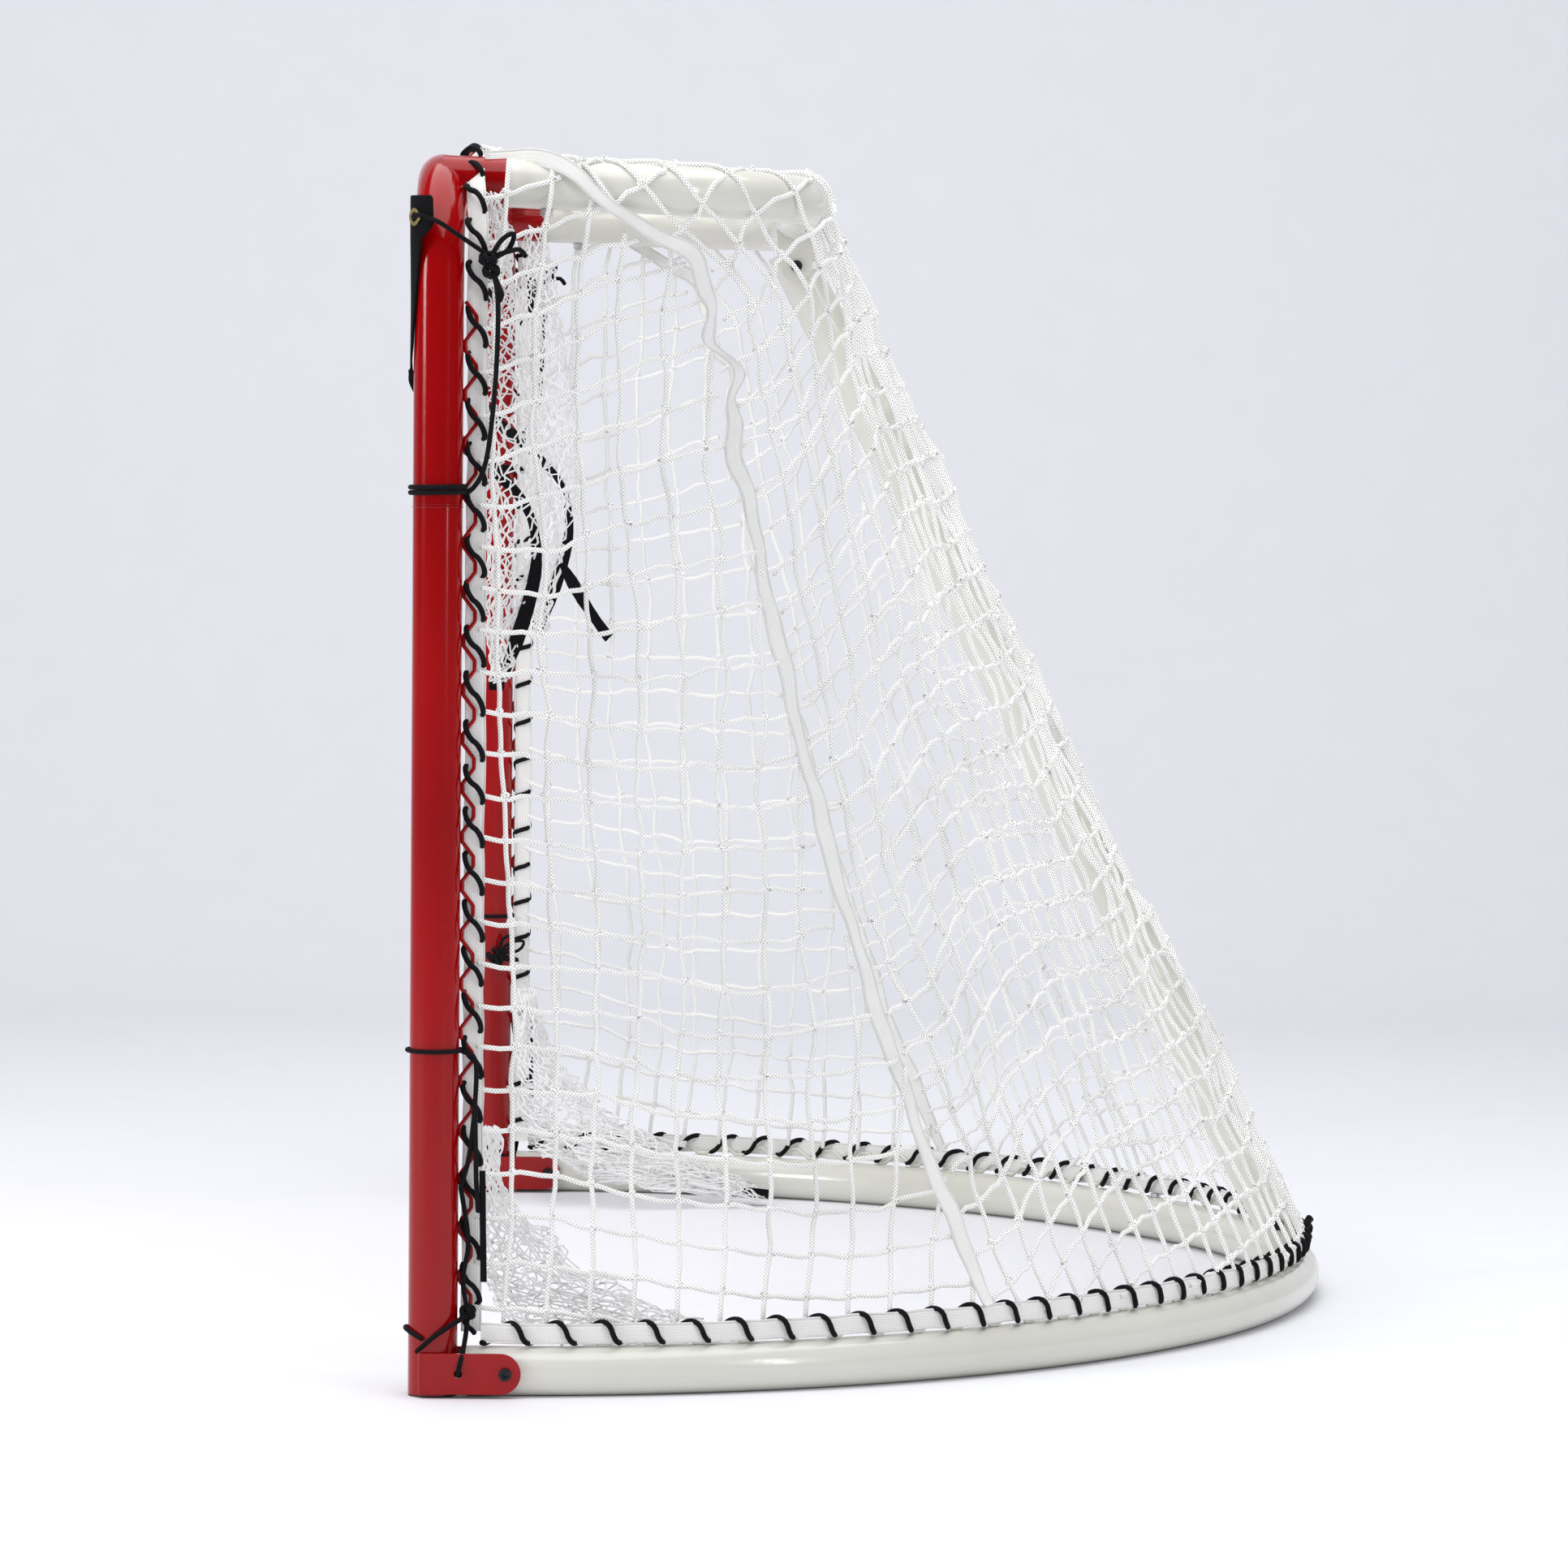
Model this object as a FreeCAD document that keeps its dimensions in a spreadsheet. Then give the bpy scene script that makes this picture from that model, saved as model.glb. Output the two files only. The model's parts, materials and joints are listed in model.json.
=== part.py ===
import FreeCAD, Part
import math
import os
from FreeCAD import Placement, Rotation, Vector

# Steel-framed hockey goal. Millimetres, +Z up, the mouth faces -Y.
# The origin is on the floor at the middle of the goal line, half way between the posts.

doc = FreeCAD.newDocument("hockey_goal")
sheet = doc.addObject("Spreadsheet::Sheet", "Sizes")

SIZES = {
    # tubes
    "tube_radius": 25.4,
    "bore_radius": 22.9,
    "neck_radius": 22.8,
    "neck_bore": 20.3,
    "neck_length": 60,
    "shoulder": 4,
    # front frame
    "post_offset": 939.8,
    "post_foot": 2,
    "post_seam": 910,
    "crossbar_height": 1244.6,
    "corner_bend": 115,
    "crossbar_seam": 700,
    "plug_radius": 25,
    "plug_stem": 22.8,
    "plug_depth": 30,
    # top shelf, which slopes down a little towards the back
    "shelf_offset": 864,
    "shelf_front": 66.5,
    "shelf_height": 1240,
    "shelf_straight": 105.5,
    "shelf_bend": 200,
    "shelf_tilt": 2.2,
    "shelf_bolt_at": 41.5,
    # base, a rounded U lying on the floor
    "base_front": 34,
    "base_start": 70,
    "base_depth": 890,
    "base_power": 1.9,
    "base_seam": 440,
    # foot bracket of each post, and the pivot of the base
    "bracket_front": -11,
    "bracket_arc": 70,
    "bracket_bottom": 4.5,
    "bracket_tall": 41.8,
    "ear_gap": 26.1,
    "ear_thick": 4.5,
    "pivot_back": 75,
    "pivot_height": 25.4,
    "tie_hole_back": 27,
    "tie_hole_radius": 4.3,
    "weld_radius": 3,
    # rear brace
    "head_back": 373,
    "head_height": 1172,
    "foot_back": 937,
    "foot_height": 76,
    "brace_lower_length": 560,
    "foot_overrun": 12,
    "head_overrun": 20,
    "button_above_seam": 26,
    "button_radius": 4,
    # bolts and nuts
    "bolt_radius": 4,
    "bolt_hole": 4.05,
    "bolt_head": 6.5,
    "bolt_head_tall": 4.5,
    "hex_socket": 3.4,
    "hex_socket_deep": 3,
    "nut_corner": 7.5,
    "nut_thick": 6.5,
    # lacing rails: bent wire welded to the tubes
    "wire_radius": 2,
    "rail_height": 11,
    "rail_pitch": 50,
    # tape, lacing cord and netting
    "tape_low": 5,
    "tape_high": 22,
    "tape_thick": 3,
    "cord_radius": 3,
    "net_thick": 3,
    "net_gap": 26.2,
    "net_foot": 76,
    "net_head": 1236,
    # corner pockets
    "pocket_cord_radius": 3,
    "webbing_thick": 2.5,
    "webbing_width": 25,
    "grommet_radius": 9,
    "grommet_bore": 5,
    "grommet_thick": 1.5,
}

for row, (alias, value) in enumerate(SIZES.items(), start=1):
    sheet.set("A%d" % row, alias)
    sheet.set("B%d" % row, str(value))
    sheet.setAlias("B%d" % row, alias)
doc.recompute()

SIDES = {"left": -1, "right": 1}
UP = Vector(0, 0, 1)
nodes = {}


def size(alias):
    """One driving size, read back from the sheet."""
    return float(sheet.get(alias))


def node(name, shape_object, placement=None):
    """Label an object as a node of the assembly, which also names its file."""
    if placement is not None:
        shape_object.Placement = placement
    shape_object.Label = name
    nodes[name] = shape_object
    return shape_object


def along(start, direction):
    """A placement that starts at a point and turns local Z to a direction."""
    return Placement(Vector(*start), Rotation(UP, Vector(*direction)))


def cylinder(name, radius, height, placement):
    """Part::Cylinder whose radius and height are sheet expressions."""
    solid = doc.addObject("Part::Cylinder", name)
    solid.setExpression("Radius", radius)
    solid.setExpression("Height", height)
    solid.Placement = placement
    return solid


def prism(name, corner, height, placement):
    """Hexagonal prism whose corner radius and height are sheet expressions."""
    solid = doc.addObject("Part::Prism", name)
    solid.Polygon = 6
    solid.setExpression("Circumradius", corner)
    solid.setExpression("Height", height)
    solid.Placement = placement
    return solid


def box(name, low, high):
    """Part::Box between two corners."""
    solid = doc.addObject("Part::Box", name)
    solid.Length, solid.Width, solid.Height = (b - a for a, b in zip(low, high))
    solid.Placement = Placement(Vector(*low), Rotation())
    return solid


def fuse(name, shapes):
    joined = doc.addObject("Part::MultiFuse", name)
    joined.Shapes = shapes
    joined.Refine = False
    return joined


def cut(name, base, tool):
    result = doc.addObject("Part::Cut", name)
    result.Base = base
    result.Tool = tool
    return result


def compound(name, shapes):
    group = doc.addObject("Part::Compound", name)
    group.Links = shapes
    return group


def feature(name, shape):
    """A shape built in code from sheet sizes, where no primitive or sketch fits."""
    solid = doc.addObject("Part::Feature", name)
    solid.Shape = shape
    return solid


def hollow(name, outer, inner, height, placement):
    """A ring or a straight piece of tube."""
    return cut(
        name,
        cylinder(name + "_outside", outer, height, placement),
        cylinder(name + "_inside", inner, height, placement),
    )


def mirrored(name, source):
    """The same piece on the other side of the goal's middle plane."""
    image = doc.addObject("Part::Mirroring", name)
    image.Source = source
    image.Normal = Vector(1, 0, 0)
    return image


def rounded_path(points, bend):
    """A wire through the points, with every corner rounded to one bend radius."""
    edges = []
    start = points[0]
    for before, corner, after in zip(points, points[1:], points[2:]):
        back = (before - corner).normalize()
        ahead = (after - corner).normalize()
        half = back.getAngle(ahead) / 2
        leave = corner + back * (bend / math.tan(half))
        join = corner + ahead * (bend / math.tan(half))
        bisector = (back + ahead).normalize()
        middle = corner + bisector * (bend / math.sin(half) - bend)
        edges.append(Part.LineSegment(start, leave).toShape())
        edges.append(Part.Arc(leave, middle, join).toShape())
        start = join
    edges.append(Part.LineSegment(start, points[-1]).toShape())
    return Part.Wire(edges)


SWEEP_TURN = 25


def sweep(name, path, radius):
    """A round bar along a path; the radius is a sheet expression."""
    spine = feature(name + "_path", path)
    first = path.OrderedEdges[0]
    profile = doc.addObject("Part::Circle", name + "_profile")
    profile.setExpression("Radius", radius)
    start = first.firstVertex(True).Point
    tangent = first.tangentAt(first.FirstParameter)
    if first.Orientation == "Reversed":
        tangent = first.tangentAt(first.LastParameter) * -1
    # The profile is turned so that the bar's seam line lies off its middle planes.
    profile.Placement = Placement(start, Rotation(UP, tangent).multiply(Rotation(UP, SWEEP_TURN)))
    bar = doc.addObject("Part::Sweep", name)
    bar.Sections = [profile]
    bar.Spine = (spine, ["Edge%d" % (n + 1) for n in range(len(path.Edges))])
    bar.Solid = True
    return bar


def neck(name, start, direction):
    """The swaged end of a tube: a shoulder, then a narrower neck that plugs into the next tube."""
    back = Vector(*direction) * -1
    shoulder = hollow(
        name + "_shoulder",
        "Sizes.tube_radius",
        "Sizes.neck_bore",
        "Sizes.shoulder",
        along(start, back),
    )
    plug = hollow(
        name + "_plug",
        "Sizes.neck_radius",
        "Sizes.neck_bore",
        "Sizes.neck_length + Sizes.shoulder",
        along(Vector(*start) + back * size("shoulder"), direction),
    )
    return [shoulder, plug]


def bolt(name, under_head, direction, length):
    """Socket-head bolt. The point is under its head, and the direction runs along its shank."""
    outward = Vector(*direction) * -1
    shank = doc.addObject("Part::Cylinder", name + "_shank")
    shank.setExpression("Radius", "Sizes.bolt_radius")
    shank.Height = length
    shank.Placement = along(under_head, direction)
    head = cylinder(
        name + "_head", "Sizes.bolt_head", "Sizes.bolt_head_tall", along(under_head, outward)
    )
    top = Vector(*under_head) + outward * size("bolt_head_tall")
    socket = prism(
        name + "_socket", "Sizes.hex_socket", "Sizes.hex_socket_deep", along(top, direction)
    )
    return cut(name, fuse(name + "_blank", [shank, head]), socket)


def nut(name, face, direction):
    """Hexagonal nut whose face lies at the point; it runs on along the direction."""
    place = along(face, direction)
    body = prism(name + "_body", "Sizes.nut_corner", "Sizes.nut_thick", place)
    bore = cylinder(name + "_bore", "Sizes.bolt_hole", "Sizes.nut_thick", place)
    return cut(name, body, bore)


def bolt_bore(name, start, direction, length):
    """The hole a bolt passes through."""
    bore = doc.addObject("Part::Cylinder", name)
    bore.setExpression("Radius", "Sizes.bolt_hole")
    bore.Height = length
    bore.Placement = along(start, direction)
    return bore


# ---------------------------------------------------------------- curves

SHELF = Placement(
    Vector(0, size("shelf_front"), size("shelf_height")),
    Rotation(Vector(1, 0, 0), -size("shelf_tilt")),
)


def shelf_point(across, back, up=0):
    """A point given across, back along the sloping shelf, and above it."""
    return SHELF.multVec(Vector(across, back, up))


def base_point(turn, outward=0, height=0):
    """A point on the base's plan curve. Turn runs from 0 at the right post to 1 at the left."""
    angle = math.pi * turn
    power = 2 / size("base_power")
    half_width = size("post_offset")
    depth = size("base_depth")

    def plain(a):
        across = half_width * math.copysign(abs(math.cos(a)) ** power, math.cos(a))
        return Vector(across, size("base_start") + depth * abs(math.sin(a)) ** power, height)

    here = plain(angle)
    if outward == 0:
        return here
    step = 0.002
    tangent = plain(min(angle + step, math.pi)) - plain(max(angle - step, 0))
    normal = Vector(tangent.y, -tangent.x, 0).normalize()
    return here + normal * outward


def base_curve(outward=0, height=0, steps=32):
    """Smooth curve of the whole base, from the right post round to the left post."""
    points = [base_point(n / steps, outward, height) for n in range(steps + 1)]
    curve = Part.BSplineCurve()
    curve.interpolate(Points=points, InitialTangent=Vector(0, 1, 0), FinalTangent=Vector(0, -1, 0))
    return curve


def right_half(curve):
    """The edge of a curve of the base from the right post to its rear middle."""
    first = curve.FirstParameter
    return curve.toShape(first, curve.parameterAtDistance(curve.length() / 2, first))


def turn_at(across):
    """The turn at which the base passes a given distance from its middle plane."""
    ratio = across / size("post_offset")
    return math.acos(math.copysign(abs(ratio) ** (size("base_power") / 2), ratio)) / math.pi


# ---------------------------------------------------------------- front frame

for side, sign in SIDES.items():
    across = sign * size("post_offset")
    post = hollow(
        "post_%s_tube" % side,
        "Sizes.tube_radius",
        "Sizes.bore_radius",
        "Sizes.post_seam - Sizes.post_foot",
        Placement(),
    )
    for part in (post.Base, post.Tool):
        part.setExpression("Placement.Base.x", "%d * Sizes.post_offset" % sign)
        part.setExpression("Placement.Base.z", "Sizes.post_foot")
    node("post_" + side, post)

    seam = Vector(across, 0, size("post_seam"))
    elbow = Vector(across, 0, size("crossbar_height"))
    inner_end = Vector(sign * size("crossbar_seam"), 0, size("crossbar_height"))
    path = rounded_path([seam, elbow, inner_end], size("corner_bend"))
    stub_start = shelf_point(sign * size("shelf_offset"), -size("shelf_front"))
    stub_bore = shelf_point(sign * size("shelf_offset"), size("tube_radius") - size("shelf_front"))
    stub_end = shelf_point(sign * size("shelf_offset"), 0)
    shelf_way = SHELF.Rotation.multVec(Vector(0, 1, 0))
    outside = fuse(
        "corner_%s_outside" % side,
        [
            sweep("corner_%s_tube" % side, path, "Sizes.tube_radius"),
            cylinder(
                "stub_%s_outside" % side,
                "Sizes.tube_radius",
                "Sizes.shelf_front",
                along(stub_start, shelf_way),
            ),
        ],
    )
    inside = fuse(
        "corner_%s_inside" % side,
        [
            sweep("corner_%s_bore" % side, path, "Sizes.bore_radius"),
            cylinder(
                "stub_%s_inside" % side,
                "Sizes.bore_radius",
                "Sizes.shelf_front - Sizes.tube_radius",
                along(stub_bore, shelf_way),
            ),
        ],
    )
    necks = neck("corner_%s_low" % side, seam, (0, 0, -1))
    necks += neck("corner_%s_stub" % side, stub_end, shelf_way)
    shell = cut("corner_%s_shell" % side, outside, inside)
    whole = fuse("corner_%s_whole" % side, [shell] + necks)
    hole_top = shelf_point(sign * size("shelf_offset"), size("shelf_bolt_at"), 40)
    down = SHELF.Rotation.multVec(Vector(0, 0, -1))
    node(
        "corner_" + side,
        cut("corner_%s_drilled" % side, whole, bolt_bore("corner_%s_hole" % side, hole_top, down, 80)),
    )

bar = hollow(
    "crossbar_tube",
    "Sizes.tube_radius",
    "Sizes.bore_radius",
    "2 * Sizes.crossbar_seam",
    along((-size("crossbar_seam"), 0, size("crossbar_height")), (1, 0, 0)),
)
ends = []
for side, sign in SIDES.items():
    end = (sign * size("crossbar_seam"), 0, size("crossbar_height"))
    ends += neck("crossbar_" + side, end, (sign, 0, 0))
node("crossbar", fuse("crossbar_whole", [bar] + ends))

plugs = []
for side, sign in SIDES.items():
    place = Placement(Vector(sign * size("post_offset"), 0, 0), Rotation())
    flange = cylinder("plug_flange_" + side, "Sizes.plug_radius", "Sizes.post_foot", place)
    stem = cylinder("plug_stem_" + side, "Sizes.plug_stem", "Sizes.plug_depth", place)
    plugs.append(fuse("plug_" + side, [flange, stem]))
node("post_plugs", compound("post_plug_pair", plugs))


def ear_outline(front, bottom, top, arc_back):
    """Plate outline in the YZ plane with a round back end."""
    middle = (bottom + top) / 2
    radius = (top - bottom) / 2
    corners = [
        Vector(0, arc_back, bottom),
        Vector(0, front, bottom),
        Vector(0, front, top),
        Vector(0, arc_back, top),
    ]
    edges = [Part.LineSegment(a, b).toShape() for a, b in zip(corners, corners[1:])]
    tip = Vector(0, arc_back + radius, middle)
    edges.append(Part.Arc(corners[-1], tip, corners[0]).toShape())
    return Part.Face(Part.Wire(edges))


for side, sign in SIDES.items():
    across = sign * size("post_offset")
    outline = ear_outline(
        size("bracket_front"),
        size("bracket_bottom"),
        size("bracket_bottom") + size("bracket_tall"),
        size("bracket_arc"),
    )
    pieces = []
    for face in (-1, 1):
        plate = outline.copy()
        plate.translate(Vector(across + face * size("ear_gap"), 0, 0))
        ear = plate.extrude(Vector(face * size("ear_thick"), 0, 0))
        weld = Part.makeCylinder(
            size("weld_radius"),
            size("bracket_tall"),
            Vector(across + face * size("ear_gap"), size("bracket_front"), size("bracket_bottom")),
        )
        pieces.append(feature("ear_%s_%d" % (side, face + 1), ear.fuse(weld)))
    plates = fuse("bracket_%s_plates" % side, pieces)
    holes = [
        bolt_bore(
            "bracket_%s_pivot" % side,
            (across - 40, size("pivot_back"), size("pivot_height")),
            (1, 0, 0),
            80,
        ),
        cylinder(
            "bracket_%s_tie" % side,
            "Sizes.tie_hole_radius",
            "80",
            along((across - 40, size("tie_hole_back"), size("pivot_height")), (1, 0, 0)),
        ),
        cylinder("bracket_%s_post" % side, "Sizes.tube_radius", "100", along((across, 0, 0), (0, 0, 1))),
    ]
    node(
        "bracket_" + side,
        cut("bracket_%s_drilled" % side, plates, fuse("bracket_%s_holes" % side, holes)),
    )

pivot_bolts = []
pivot_nuts = []
for side, sign in SIDES.items():
    reach = size("ear_gap") + size("ear_thick")
    outer = (sign * (size("post_offset") + reach), size("pivot_back"), size("pivot_height"))
    inner = (sign * (size("post_offset") - reach), size("pivot_back"), size("pivot_height"))
    length = 2 * reach + size("nut_thick") + 2
    pivot_bolts.append(bolt("pivot_bolt_" + side, outer, (-sign, 0, 0), length))
    pivot_nuts.append(nut("pivot_nut_" + side, inner, (-sign, 0, 0)))
node("pivot_bolts", compound("pivot_bolt_pair", pivot_bolts))
node("pivot_nuts", compound("pivot_nut_pair", pivot_nuts))

# ---------------------------------------------------------------- top shelf

corner_point = size("shelf_straight") + size("shelf_bend")
shelf_path = rounded_path(
    [
        Vector(size("shelf_offset"), 0, 0),
        Vector(size("shelf_offset"), corner_point, 0),
        Vector(-size("shelf_offset"), corner_point, 0),
        Vector(-size("shelf_offset"), 0, 0),
    ],
    size("shelf_bend"),
)
shelf = cut(
    "shelf_bent",
    sweep("shelf_outside", shelf_path, "Sizes.tube_radius"),
    sweep("shelf_inside", shelf_path, "Sizes.bore_radius"),
)
holes = fuse(
    "shelf_holes",
    [
        bolt_bore(
            "shelf_hole_" + side,
            (sign * size("shelf_offset"), size("shelf_bolt_at"), -40),
            (0, 0, 1),
            80,
        )
        for side, sign in SIDES.items()
    ],
)
node("shelf_tube", cut("shelf_drilled", shelf, holes), SHELF)

shelf_bolts = []
shelf_nuts = []
down = SHELF.Rotation.multVec(Vector(0, 0, -1))
for side, sign in SIDES.items():
    top = shelf_point(sign * size("shelf_offset"), size("shelf_bolt_at"), size("tube_radius"))
    low = shelf_point(sign * size("shelf_offset"), size("shelf_bolt_at"), -size("tube_radius"))
    length = 2 * size("tube_radius") + size("nut_thick") + 2
    shelf_bolts.append(bolt("shelf_bolt_" + side, top, down, length))
    shelf_nuts.append(nut("shelf_nut_" + side, low, down))
node("shelf_bolts", compound("shelf_bolt_pair", shelf_bolts))
node("shelf_nuts", compound("shelf_nut_pair", shelf_nuts))

# ---------------------------------------------------------------- base

whole_curve = base_curve(height=size("tube_radius"))
seam_right = whole_curve.parameter(base_point(turn_at(size("base_seam")), 0, size("tube_radius")))
seam_left = whole_curve.parameter(base_point(turn_at(-size("base_seam")), 0, size("tube_radius")))
first, last = whole_curve.FirstParameter, whole_curve.LastParameter
front_end = Vector(size("post_offset"), size("base_front"), size("tube_radius"))
arm_path = Part.Wire(
    [
        Part.LineSegment(front_end, whole_curve.value(first)).toShape(),
        whole_curve.toShape(first, seam_right),
    ]
)
neck_reach = {
    "right": whole_curve.parameterAtDistance(-size("neck_length"), seam_right),
    "left": whole_curve.parameterAtDistance(size("neck_length"), seam_left),
}
bolt_reach = {
    "right": whole_curve.parameterAtDistance(-size("neck_length") / 2, seam_right),
    "left": whole_curve.parameterAtDistance(size("neck_length") / 2, seam_left),
}
sleeve_reach = {
    "right": whole_curve.parameterAtDistance(size("neck_length"), seam_right),
    "left": whole_curve.parameterAtDistance(-size("neck_length"), seam_left),
}


def joint_bore(side, name):
    """The upright hole through the top walls where an arm and the rear piece overlap."""
    point = whole_curve.value(bolt_reach[side])
    return bolt_bore(name, (point.x, point.y, size("tube_radius")), (0, 0, 1), 40)


arm = cut(
    "base_arm_tube",
    sweep("base_arm_outside", arm_path, "Sizes.tube_radius"),
    sweep("base_arm_inside", arm_path, "Sizes.bore_radius"),
)
arm_bores = fuse(
    "base_arm_bores",
    [
        bolt_bore(
            "base_arm_pivot",
            (size("post_offset") - 40, size("pivot_back"), size("pivot_height")),
            (1, 0, 0),
            80,
        ),
        joint_bore("right", "base_arm_joint"),
    ],
)
node("base_arm_right", cut("base_arm_drilled", arm, arm_bores))
node("base_arm_left", mirrored("base_arm_mirror", nodes["base_arm_right"]))

rear_path = Part.Wire([whole_curve.toShape(seam_right, seam_left)])
rear = cut(
    "base_rear_tube",
    sweep("base_rear_outside", rear_path, "Sizes.tube_radius"),
    sweep("base_rear_inside", rear_path, "Sizes.bore_radius"),
)
node("base_rear", rear)

# A loose sleeve inside each seam joins the arm to the rear piece.
sleeves = []
for side in SIDES:
    span = sorted((neck_reach[side], sleeve_reach[side]))
    path = Part.Wire([whole_curve.toShape(*span)])
    sleeve = cut(
        "base_sleeve_" + side,
        sweep("base_sleeve_%s_outside" % side, path, "Sizes.neck_radius"),
        sweep("base_sleeve_%s_inside" % side, path, "Sizes.neck_bore"),
    )
    sleeves.append(
        cut("base_sleeve_%s_drilled" % side, sleeve, joint_bore(side, "base_sleeve_bore_" + side))
    )
node("base_sleeves", compound("base_sleeve_pair", sleeves))

joint_bolts = []
for side in SIDES:
    point = whole_curve.value(bolt_reach[side])
    top = (point.x, point.y, 2 * size("tube_radius"))
    joint_bolts.append(bolt("base_joint_bolt_" + side, top, (0, 0, -1), 16))
node("base_joint_bolts", compound("base_joint_bolt_pair", joint_bolts))

# ---------------------------------------------------------------- rear brace

HEAD = Vector(0, size("head_back"), size("head_height"))
FOOT = Vector(0, size("foot_back"), size("foot_height"))
BRACE_UP = (HEAD - FOOT).normalize()
BRACE_SEAM = FOOT + BRACE_UP * size("brace_lower_length")


def ear_pair(name, outline):
    """Two plates, one each side of the brace."""
    plates = []
    for face in (-1, 1):
        plate = outline.copy()
        plate.translate(Vector(face * size("ear_gap"), 0, 0))
        plates.append(
            feature("%s_ear_%d" % (name, face + 1), plate.extrude(Vector(face * size("ear_thick"), 0, 0)))
        )
    return fuse(name + "_ears", plates)


def drilled_ears(name, outline, pin, tube):
    """Bracket of two ears, fitted to the tube they are welded to and drilled for a bolt."""
    bore = bolt_bore(name + "_bore", (-40, pin.y, pin.z), (1, 0, 0), 80)
    return cut(name + "_drilled", cut(name + "_fitted", ear_pair(name, outline), tube), bore)


def teardrop(pin, radius, top_points):
    """Plate that narrows from its welded edge to a round end about a bolt."""
    left, right = top_points
    edges = []
    tangents = []
    for point, hand in ((left, 1), (right, -1)):
        reach = point - pin
        swing = math.acos(radius / reach.Length)
        base = math.atan2(reach.z, reach.y)
        angle = base + hand * swing
        tangents.append(pin + Vector(0, math.cos(angle), math.sin(angle)) * radius)
    low = (tangents[0] - pin + tangents[1] - pin).normalize()
    top_middle = (left + right) * 0.5 - pin
    if low.dot(top_middle) > 0:
        low = low * -1
    edges.append(Part.LineSegment(right, left).toShape())
    edges.append(Part.LineSegment(left, tangents[0]).toShape())
    edges.append(Part.Arc(tangents[0], pin + low * radius, tangents[1]).toShape())
    edges.append(Part.LineSegment(tangents[1], right).toShape())
    return Part.Face(Part.Wire(edges))


shelf_rear = shelf_point(0, corner_point)
shelf_tool = cylinder(
    "head_bracket_tube", "Sizes.tube_radius", "200", along((-100, shelf_rear.y, shelf_rear.z), (1, 0, 0))
)
head_outline = teardrop(
    HEAD,
    18,
    (Vector(0, shelf_rear.y - 22, shelf_rear.z - 8), Vector(0, shelf_rear.y + 22, shelf_rear.z - 8)),
)
node("head_bracket", drilled_ears("head_bracket", head_outline, HEAD, shelf_tool))

base_rear_middle = base_point(0.5, 0, size("tube_radius"))
rear_tool = sweep("foot_bracket_tube", rear_path, "Sizes.tube_radius")
foot_outline = teardrop(
    FOOT,
    14,
    (
        Vector(0, base_rear_middle.y, base_rear_middle.z + 20),
        Vector(0, base_rear_middle.y - 22, base_rear_middle.z + 6),
    ),
)
node("foot_bracket", drilled_ears("foot_bracket", foot_outline, FOOT, rear_tool))

reach = size("ear_gap") + size("ear_thick")
for name, pin in (("head", HEAD), ("foot", FOOT)):
    length = 2 * reach + size("nut_thick") + 2
    node(name + "_bolt", bolt(name + "_bolt_solid", (reach, pin.y, pin.z), (-1, 0, 0), length))
    node(name + "_nut", nut(name + "_nut_solid", (-reach, pin.y, pin.z), (-1, 0, 0)))

lower = hollow(
    "brace_lower_tube",
    "Sizes.tube_radius",
    "Sizes.bore_radius",
    "Sizes.brace_lower_length + Sizes.foot_overrun",
    along(FOOT - BRACE_UP * size("foot_overrun"), BRACE_UP),
)
lower_whole = fuse("brace_lower_whole", [lower] + neck("brace_lower", BRACE_SEAM, BRACE_UP))
button_point = BRACE_SEAM + BRACE_UP * size("button_above_seam")
lower_holes = fuse(
    "brace_lower_holes",
    [
        bolt_bore("brace_lower_bore", (-40, FOOT.y, FOOT.z), (1, 0, 0), 80),
        bolt_bore("brace_lower_button", (0, button_point.y, button_point.z), (1, 0, 0), 40),
    ],
)
node("brace_lower", cut("brace_lower_drilled", lower_whole, lower_holes))

upper_length = (HEAD - BRACE_SEAM).Length + size("head_overrun")
upper = hollow(
    "brace_upper_tube",
    "Sizes.tube_radius",
    "Sizes.bore_radius",
    "%f" % upper_length,
    along(BRACE_SEAM, BRACE_UP),
)
# The head is notched from its bolt hole out through the back wall, so it lifts off the bolt forwards.
NOTCH_ANGLE = 3.8
notch = feature(
    "brace_head_notch",
    Part.makeBox(
        100,
        60,
        2 * size("bolt_hole") + 1,
        Vector(-50, 0, -size("bolt_hole") - 0.5),
    ),
)
notch.Placement = Placement(HEAD, Rotation(Vector(1, 0, 0), NOTCH_ANGLE))
upper_holes = fuse(
    "brace_upper_holes",
    [
        bolt_bore("brace_upper_bore", (-40, HEAD.y, HEAD.z), (1, 0, 0), 80),
        bolt_bore("brace_upper_button", (0, button_point.y, button_point.z), (1, 0, 0), 40),
        notch,
    ],
)
node("brace_upper", cut("brace_upper_drilled", upper, upper_holes))
node(
    "brace_button",
    cylinder(
        "brace_button_pin",
        "Sizes.button_radius",
        "Sizes.tube_radius + 2 - Sizes.neck_bore + 4",
        along((size("neck_bore") - 4, button_point.y, button_point.z), (1, 0, 0)),
    ),
)

# ---------------------------------------------------------------- lacing rails


def wave(place_at, length, pitch):
    """Trapezoid wave of points. place_at(distance, height) puts one point beside a tube."""
    points = []
    count = int(length // pitch)
    margin = (length - count * pitch) / 2
    low, high = -size("wire_radius") * 0.2, size("rail_height")
    for n in range(count):
        start = margin + n * pitch
        for share, height in ((0.1, low), (0.4, high), (0.6, high), (0.9, low)):
            points.append(place_at(start + share * pitch, height + size("wire_radius")))
    return points


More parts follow.
